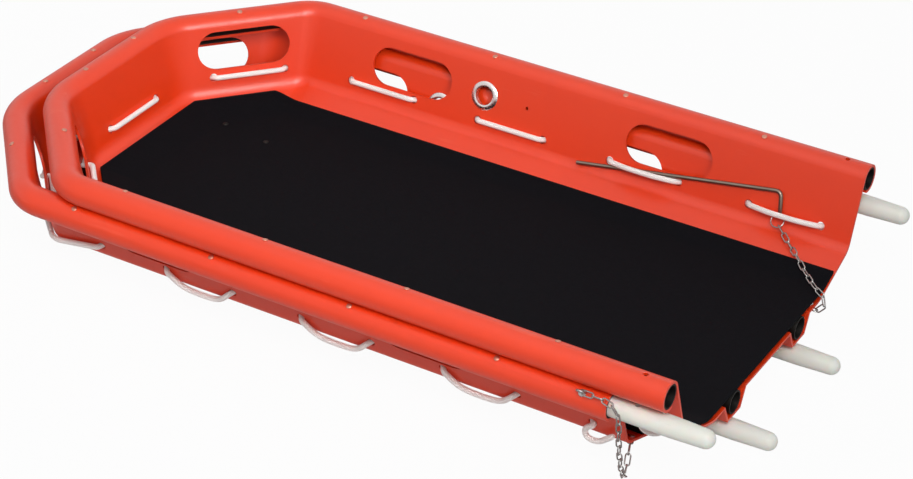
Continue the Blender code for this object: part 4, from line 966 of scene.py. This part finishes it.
def rod_line():
    """The stowed rod on the far wall: its tip, its bend, its end and its ring's hole."""
    depth = ROD_DIAMETER / 2 + FIT_GAP
    tip = wall_point(("long", ROD_TIP_FROM_JOINT), 1, ROD_TIP_LEVEL, depth + ROD_TIP_LIFT)
    corner = wall_point(("long", ROD_BEND_FROM_JOINT), 1, ROD_BEND_LEVEL, depth)
    along = (corner - tip).normalized()
    up = wall_axes(("long", ROD_BEND_FROM_JOINT), 1, ROD_BEND_LEVEL)[1]
    down = (along * along.dot(up) - up).normalized()
    end = corner + down * ROD_LEG
    return tip, corner, end, end - down * ROD_HOLE_FROM_END


def build_rod(finish, ring_finish):
    """The L-shaped locking rod, with a hole near its short leg's end, and the ring in that hole."""
    tip, corner, end, hole = rod_line()
    line = rounded([(tip, 0), (corner, ROD_BEND_REACH), (end, 0)], 12)
    start = (line[1] - line[0]).normalized()
    stop = (line[-1] - line[-2]).normalized()
    line = [line[0], line[0] + start * 0.0012] + line[1:-1] + [line[-1] - stop * 0.0010, line[-1]]
    radius = ROD_DIAMETER / 2
    sizes = [radius * 0.6] + [radius] * (len(line) - 2) + [radius * 0.75]
    rod = make("locking_bar", finish, add_sweep, line, sizes, 24)
    drill(rod, [(hole - ALONG * CUT_OVERRUN, hole + ALONG * CUT_OVERRUN, ROD_HOLE_RADIUS)])
    settle(rod, "upper", "locking_rod", "locking_rod")
    middle = hole + RING_HANG * (ROD_RING_RADIUS - FIT_GAP)
    loop = [middle + RING_HANG * x + ALONG * y for x, y in circle(ROD_RING_RADIUS, 40)]
    wire = ROD_RING_WIRE / 2
    ring = make("locking_bar_ring", ring_finish, add_sweep, loop, wire, 14, closed=True)
    settle(ring, "upper", "locking_rod_ring", "rod_ring")


# What the chains hang along between their ends, as x, y and z in their half's frame.
PIN_CHAIN_ROUTE = (
    (-0.0100, -0.3305, 0.1755), (0.0060, -0.3325, 0.1755), (0.0180, -0.3330, 0.1660),
    (0.0205, -0.3300, 0.1480), (0.0190, -0.3240, 0.1220), (0.0165, -0.3150, 0.0940),
    (0.0140, -0.3030, 0.0640), (0.0115, -0.2900, 0.0390), (0.0085, -0.2780, 0.0280),
    (0.0055, -0.2670, 0.0340),
)
ROD_CHAIN_ROUTE = (
    (-0.0760, 0.2260, 0.0630), (-0.0560, 0.2075, 0.0605), (-0.0350, 0.1880, 0.0540),
    (-0.0060, 0.1620, 0.0500), (0.0110, 0.1545, 0.0435), (0.0125, 0.1515, 0.0320),
    (0.0050, 0.1500, 0.0237),
)


def smooth_route(points, spacing):
    """A smooth line through the points, at even steps."""
    dense = []
    ends = [points[0], *points, points[-1]]
    for a, b, c, d in zip(ends, points, points[1:], ends[3:]):
        for k in range(12):
            t = k / 12
            dense.append(0.5 * (
                (2 * b) + (c - a) * t + (2 * a - 5 * b + 4 * c - d) * t * t
                + (3 * b - a - 3 * c + d) * t ** 3
            ))
    dense.append(points[-1])
    return evened(dense, spacing)


def chain_links(route, first_across, last_across):
    """Every link of a chain as (centre, heading, across, length), turned by quarters."""
    points = smooth_route(route, CHAIN_LINK_LENGTH - 2 * CHAIN_WIRE + CHAIN_BITE)
    count = len(points) - 1
    last_heading = (points[-1] - points[-2]).normalized()
    if count % 2 == 0:
        last_across = last_heading.cross(last_across)
    if first_across.dot(last_across) < 0:
        last_across = -last_across
    links = []
    for i, (low, high) in enumerate(zip(points, points[1:])):
        heading = (high - low).normalized()
        across = first_across.lerp(last_across, i / (count - 1))
        across = (across - heading * across.dot(heading)).normalized()
        if i % 2:
            across = heading.cross(across)
        length = (high - low).length + 2 * CHAIN_WIRE - CHAIN_BITE
        links.append(((low + high) / 2, heading, across, length))
    return links


def link_start(wire_centre, wire_radius, heading):
    return wire_centre - heading * (wire_radius + CHAIN_BITE / 2 + CHAIN_PLAY)


def chain_end(half, arrival):
    """Where a chain that arrives that way ends round its anchor's shank."""
    seat, out = anchor_frame(half)
    middle = seat + out * (SHELL_WALL + FIT_GAP + ANCHOR_STAND_OFF / 2)
    return middle - link_start(Vector(), ANCHOR_SHANK / 2, arrival)


def pin_chain_links():
    _, axis, eye = lock_pin_frame()
    start = link_start(eye + ALONG * LOCK_PIN_EYE, EYE_WIRE / 2, ALONG)
    out = anchor_frame("lower")[1]
    arrival = (ALONG.cross(out) - ALONG * 0.45).normalized()
    end = chain_end("lower", arrival)
    route = [start] + [Vector(p) for p in PIN_CHAIN_ROUTE] + [end - arrival * 0.012, end]
    return chain_links(route, axis.cross(ALONG), arrival.cross(out))


def rod_chain_links():
    hole = rod_line()[-1]
    pull = (RING_HANG + ALONG * 0.8).normalized()
    start = link_start(hole + (RING_HANG + pull) * ROD_RING_RADIUS, ROD_RING_WIRE / 2, pull)
    route = [start] + [Vector(p) for p in ROD_CHAIN_ROUTE] + [chain_end("upper", -ALONG)]
    out = anchor_frame("upper")[1]
    return chain_links(route, RING_HANG.cross(ALONG), (-ALONG).cross(out))


# Geometry Nodes for what repeats.
def new_tree(name, inputs):
    """A geometry tree with named inputs, and those inputs as its first node's outputs."""
    tree = bpy.data.node_groups.new(name, "GeometryNodeTree")
    for way in ("INPUT", "OUTPUT"):
        tree.interface.new_socket("Geometry", in_out=way, socket_type="NodeSocketGeometry")
    for label in inputs:
        tree.interface.new_socket(label, in_out="INPUT", socket_type="NodeSocketFloat")
    tree.interface.new_socket("Material", in_out="INPUT", socket_type="NodeSocketMaterial")
    return tree, put(tree, "NodeGroupInput").outputs


def point_value(tree, name, kind):
    return put(tree, "GeometryNodeInputNamedAttribute", {"Name": name}, data_type=kind).outputs[0]


def finish_tree(tree, source, instance, turn, more):
    """Puts the instance on every point, and joins all of them as one smooth painted mesh."""
    sockets = {"Points": source["Geometry"], "Instance": instance, "Rotation": turn, **more}
    place = put(tree, "GeometryNodeInstanceOnPoints", sockets)
    whole = put(tree, "GeometryNodeRealizeInstances", {0: place.outputs[0]})
    smooth = put(tree, "GeometryNodeSetShadeSmooth", {"Geometry": whole.outputs[0]})
    paint = put(tree, "GeometryNodeSetMaterial", {
        "Geometry": smooth.outputs[0], "Material": source["Material"],
    })
    put(tree, "NodeGroupOutput", {"Geometry": paint.outputs[0]})
    return tree


def repeat_on_points(name, points, values, tree, inputs):
    """Runs a tree on points with their own values, and leaves a plain mesh."""
    mesh = bpy.data.meshes.new(name)
    mesh.from_pydata([tuple(point) for point in points], [], [])
    for label, (kind, rows) in values.items():
        field = "value" if kind == "QUATERNION" else "vector"
        data = mesh.attributes.new(label, kind, "POINT").data
        data.foreach_set(field, [number for row in rows for number in row])
    obj = link_object(name, mesh)
    modifier = obj.modifiers.new(tree.name, "NODES")
    modifier.node_group = tree
    for item in tree.interface.items_tree:
        if item.in_out == "INPUT" and item.name in inputs:
            modifier[item.identifier] = inputs[item.name]
    return plain_copy(obj)


def chain_tree():
    """Oval wire links, one on each point, turned and stretched by the point's own values."""
    tree, source = new_tree("chain_links", ("Link length", "Link width", "Wire"))
    wire = source["Wire"]
    width = reckon(tree, "SUBTRACT", source["Link length"], wire)
    height = reckon(tree, "SUBTRACT", source["Link width"], wire)
    oval = put(tree, "GeometryNodeCurvePrimitiveQuadrilateral", {"Width": width, "Height": height})
    bend = put(tree, "GeometryNodeFilletCurve", {
        "Curve": oval.outputs[0], "Count": 7, "Radius": reckon(tree, "MULTIPLY", height, 0.499),
    }, mode="POLY")
    ring = put(tree, "GeometryNodeCurvePrimitiveCircle", {
        "Resolution": 10, "Radius": reckon(tree, "MULTIPLY", wire, 0.5),
    })
    skin = put(tree, "GeometryNodeCurveToMesh", {
        "Curve": bend.outputs[0], "Profile Curve": ring.outputs[0],
    })
    turn = point_value(tree, "turn", "QUATERNION")
    stretch = point_value(tree, "stretch", "FLOAT_VECTOR")
    return finish_tree(tree, source, skin.outputs[0], turn, {"Scale": stretch})


def build_chain(name, half, links_list, finish, tree):
    turns, stretches = [], []
    for _, heading, across, length in links_list:
        axes = Matrix((heading, across, heading.cross(across))).transposed()
        turns.append(axes.to_quaternion())
        stretches.append((length / CHAIN_LINK_LENGTH, 1, 1))
    points = [centre + HALVES[half] for centre, _, _, _ in links_list]
    values = {"turn": ("QUATERNION", turns), "stretch": ("FLOAT_VECTOR", stretches)}
    chain = repeat_on_points(name, points, values, tree, {
        "Link length": CHAIN_LINK_LENGTH,
        "Link width": CHAIN_LINK_WIDTH,
        "Wire": CHAIN_WIRE,
        "Material": finish,
    })
    return chain


def build_chains(finish):
    """The pin's chain, and the rod's in two pieces: all but one link, and the link on the ring."""
    tree = chain_tree()
    links = pin_chain_links()
    chain = build_chain("pin_chain", "lower", links, finish, tree)
    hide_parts("lock_pin_chain")
    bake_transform(chain)
    links = rod_chain_links()
    chain = build_chain("bar_chain", "upper", links[1:], finish, tree)
    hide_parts("locking_rod_chain")
    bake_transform(chain)
    chain = build_chain("bar_chain_ring_end", "upper", links[:1], finish, tree)
    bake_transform(chain)


def dome_tree():
    """Domed heads, one on each point, facing the way the point says."""
    tree, source = new_tree("rivet_heads", ("Head", "Dome"))
    ball = put(tree, "GeometryNodeMeshUVSphere", {"Segments": 20, "Rings": 12})
    half = reckon(tree, "MULTIPLY", source["Head"], 0.5)
    size = put(tree, "ShaderNodeCombineXYZ", {"X": half, "Y": half, "Z": source["Dome"]})
    dome = put(tree, "GeometryNodeTransform", {
        "Geometry": ball.outputs["Mesh"], "Scale": size.outputs[0],
    })
    turn = put(tree, "FunctionNodeAlignRotationToVector", {
        "Vector": point_value(tree, "facing", "FLOAT_VECTOR"),
    }, axis="Z")
    return finish_tree(tree, source, dome.outputs[0], turn.outputs[0], {})


def build_rivets(half, finish, tree):
    """The rivets that hold the lip to the gunwale tube."""
    seats, facings = [], []
    for place, side, tilt in rivet_places(RIVET_TILTS[half]):
        seat = rim_point(place, side, tilt, RIM_RADIUS + FIT_GAP)
        facings.append((seat - rim_point(place, side, tilt, 0)).normalized())
        seats.append(seat + HALVES[half])
    values = {"facing": ("FLOAT_VECTOR", facings)}
    inputs = {"Head": RIVET_HEAD, "Dome": RIVET_DOME, "Material": finish}
    rivets = repeat_on_points(f"{half}_rim_rivets", seats, values, tree, inputs)
    nodes = [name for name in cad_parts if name.startswith(f"{half}_rivet_")]
    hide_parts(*nodes)
    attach(rivets, f"{half}_half")


def build_mat_studs(finish, tree):
    """Two small dark stud heads that hold the upper mat to the shell."""
    seats = [Vector(point) + HALVES["upper"] for point in MAT_STUDS]
    values = {"facing": ("FLOAT_VECTOR", [(0, 0, 1)] * len(MAT_STUDS))}
    inputs = {"Head": STUD_HEAD, "Dome": STUD_DOME, "Material": finish}
    studs = repeat_on_points("mat_studs", seats, values, tree, inputs)
    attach(studs, "upper_half")


# Materials.
def srgb(*colour):
    """Linear values of a colour written as 0 to 255, with full alpha."""
    return (*(((c / 255 + 0.055) / 1.055) ** 2.4 if c > 10 else c / 3294.6 for c in colour), 1)


def new_group(name, inputs):
    """A shader group with named inputs, and those inputs as its first node's outputs."""
    group = bpy.data.node_groups.new(name, "ShaderNodeTree")
    for label, value in inputs.items():
        socket = group.interface.new_socket(label, in_out="INPUT", socket_type="NodeSocketFloat")
        socket.default_value = value
    return group, put(group, "NodeGroupInput").outputs


def end_group(group, outputs):
    for label in outputs:
        group.interface.new_socket(label, in_out="OUTPUT", socket_type="NodeSocketFloat")
    put(group, "NodeGroupOutput", outputs)
    return group


def noise(tree, scale, factor, detail, stretch=None):
    """A noise on object coordinates whose scale is the group's own times the factor."""
    where = put(tree, "ShaderNodeTexCoord").outputs["Object"]
    if stretch:
        where = put(tree, "ShaderNodeMapping", {"Vector": where, "Scale": stretch}).outputs[0]
    sockets = {"Vector": where, "Scale": reckon(tree, "MULTIPLY", scale, factor), "Detail": detail}
    return put(tree, "ShaderNodeTexNoise", sockets).outputs["Fac"]


def ramp(tree, value, from_low, from_high, low=0.0, high=1.0):
    """value, spread so that from_low gives low and from_high gives high."""
    return put(tree, "ShaderNodeMapRange", {
        "Value": value, "From Min": from_low, "From Max": from_high, "To Min": low, "To Max": high,
    }).outputs["Result"]


def scuff_group():
    """Handling marks: a mask of faint streaks and spots, and a slow mottle."""
    group, source = new_group("handling_marks", {"Scale": 1.0, "Amount": 0.5})
    scale = source["Scale"]
    streak = ramp(group, noise(group, scale, 60, 6, (0.25, 1, 3)), 0.60, 0.78)
    spot = ramp(group, noise(group, scale, 9, 3), 0.52, 0.70)
    mask = reckon(group, "MULTIPLY", reckon(group, "MULTIPLY", streak, spot), source["Amount"])
    return end_group(group, {"Mask": mask, "Mottle": noise(group, scale, 5, 3)})


def grain_group():
    """A fine moulded or cast grain: its height, and a value that varies slowly."""
    group, source = new_group("fine_grain", {"Scale": 1.0})
    return end_group(group, {
        "Height": noise(group, source["Scale"], 700, 2),
        "Value": noise(group, source["Scale"], 120, 4),
    })


def braid_group():
    """A cord's braid from its own map: the strands' height and the shade between them."""
    group, source = new_group("cord_braid", {"Strands": 8.0, "Pitch": 260.0})
    layer = put(group, "ShaderNodeUVMap", uv_map="braid")
    split = put(group, "ShaderNodeSeparateXYZ", {0: layer.outputs[0]}).outputs
    around = reckon(group, "MULTIPLY", split["X"], source["Strands"])
    down = reckon(group, "MULTIPLY", split["Y"], source["Pitch"])
    waves = []
    for operation in ("ADD", "SUBTRACT"):
        turn = reckon(group, "MULTIPLY", reckon(group, operation, around, down), math.pi)
        waves.append(reckon(group, "ABSOLUTE", reckon(group, "SINE", turn)))
    height = reckon(group, "MULTIPLY", *waves)
    return end_group(group, {"Height": height, "Gap": ramp(group, height, 0.22, 0.02)})


def mix_colour(tree, share, low, high):
    return put(tree, "ShaderNodeMix", {0: share, 6: low, 7: high}, data_type="RGBA").outputs[2]


def new_material(name, colour, roughness, layers, base, over, rough, bump, more):
    """A surface made with groups, where an output of a group is written as (layer, label).

    A layer is a group and the values of its inputs. base is (output, low, high) and over
    (output, colour), for the colour. rough is
    (output, low, high), and bump (output, distance, strength).
    """
    made = bpy.data.materials.new(name)
    made.use_nodes = True
    tree = made.node_tree
    shader = tree.nodes["Principled BSDF"]
    fill(tree, shader, {"Base Color": colour, "Roughness": roughness, **more})
    groups = [
        put(tree, "ShaderNodeGroup", dict(enumerate(numbers)), node_tree=group)
        for group, *numbers in layers
    ]

    def output(pick):
        return groups[pick[0]].outputs[pick[1]]

    paint = mix_colour(tree, output(base[0]), *base[1:])
    if over:
        paint = mix_colour(tree, output(over[0]), paint, over[1])
    relief = put(tree, "ShaderNodeBump", {
        "Height": output(bump[0]), "Distance": bump[1], "Strength": bump[2],
    })
    fill(tree, shader, {
        "Base Color": paint,
        "Roughness": ramp(tree, output(rough[0]), 0.3, 0.7, *rough[1:]),
        "Normal": relief.outputs[0],
    })
    return made


def build_pieces():
    grain, marks, braid = grain_group(), scuff_group(), braid_group()
    mask, mottle, height, value = (0, "Mask"), (0, "Mottle"), (1, "Height"), (1, "Value")
    orange = new_material(
        "orange_moulding", srgb(231, 50, 16), 0.40,
        ((marks, 1.0, 0.35), (grain, 1.0)),
        (mottle, srgb(226, 52, 5), srgb(232, 60, 9)), (mask, srgb(238, 120, 92)),
        (value, 0.33, 0.41), (height, 0.00012, 0.6),
        {"IOR": 1.50, "Specular IOR Level": 0.70},
    )
    foam = new_material(
        "black_foam", srgb(14, 14, 17), 0.92, ((grain, 1.6),),
        ((0, "Value"), srgb(6, 6, 9), srgb(16, 16, 20)), None,
        ((0, "Height"), 0.82, 0.96), ((0, "Height"), 0.0005, 0.8),
        {"Specular IOR Level": 0.08},
    )
    cord = new_material(
        "white_braid", srgb(254, 246, 242), 0.75,
        ((braid, 8.0, 260.0), (grain, 2.0)),
        (value, srgb(252, 243, 239), srgb(255, 251, 249)), ((0, "Gap"), srgb(236, 220, 212)),
        (value, 0.68, 0.84), ((0, "Height"), 0.0005, 0.6),
        {"Sheen Weight": 0.3},
    )
    nylon = new_material(
        "milky_nylon", srgb(240, 243, 236), 0.4,
        ((marks, 3.0, 0.5), (grain, 1.0)),
        (mottle, srgb(226, 228, 219), srgb(236, 237, 229)), (mask, srgb(190, 190, 182)),
        (value, 0.34, 0.48), (height, 0.00006, 0.5),
        {"Subsurface Weight": 0.25, "Subsurface Scale": 0.004},
    )
    metals = {}
    for name, clean, dull, roughness, scale in (
        ("bright_plating", srgb(190, 188, 186), srgb(128, 124, 120), 0.28, 3),
        ("polished_plating", srgb(232, 226, 224), srgb(196, 188, 186), 0.24, 3),
        # Rivet plating: its pink-orange tint, in the clean and in the dull colour alike, is a
        # painted reflection of the orange shell; the mottle and marks between them are wear.
        ("painted_shell_reflection_plating", srgb(222, 160, 140), srgb(176, 112, 94), 0.40, 3),
        ("brownish_plating", srgb(150, 136, 124), srgb(104, 92, 82), 0.34, 3),
        ("dull_galvanising", srgb(58, 56, 54), srgb(34, 33, 32), 0.55, 1.5),
    ):
        metals[name] = new_material(
            name, clean, roughness,
            ((marks, scale, 0.8), (grain, scale)),
            (mottle, clean, dull), (mask, dull),
            (value, roughness - 0.06, roughness + 0.10), (height, 0.00004, 0.5),
            {"Metallic": 1.0},
        )
    bright, tube = metals["bright_plating"], metals["dull_galvanising"]
    domes = dome_tree()
    for half, bowed in (("lower", ()), ("upper", BOWED_STITCHES)):
        build_rope(half, cord, bowed)
        build_shell(half, orange)
        build_mat(half, foam)
        build_tubes(half, tube)
        build_grommets(half, metals["polished_plating"])
        build_anchor(half, bright)
        # The rivets take the plating whose pink-orange tint is a painted reflection of the shell.
        build_rivets(half, metals["painted_shell_reflection_plating"], domes)
    build_mat_studs(tube, domes)
    build_spigots(nylon, bright)
    build_lock_pin(bright)
    build_rod(metals["brownish_plating"], bright)
    build_chains(bright)


bpy.context.scene.view_settings.view_transform = "Standard"
add_camera()
light_studio()
add_floor()
build_pieces()
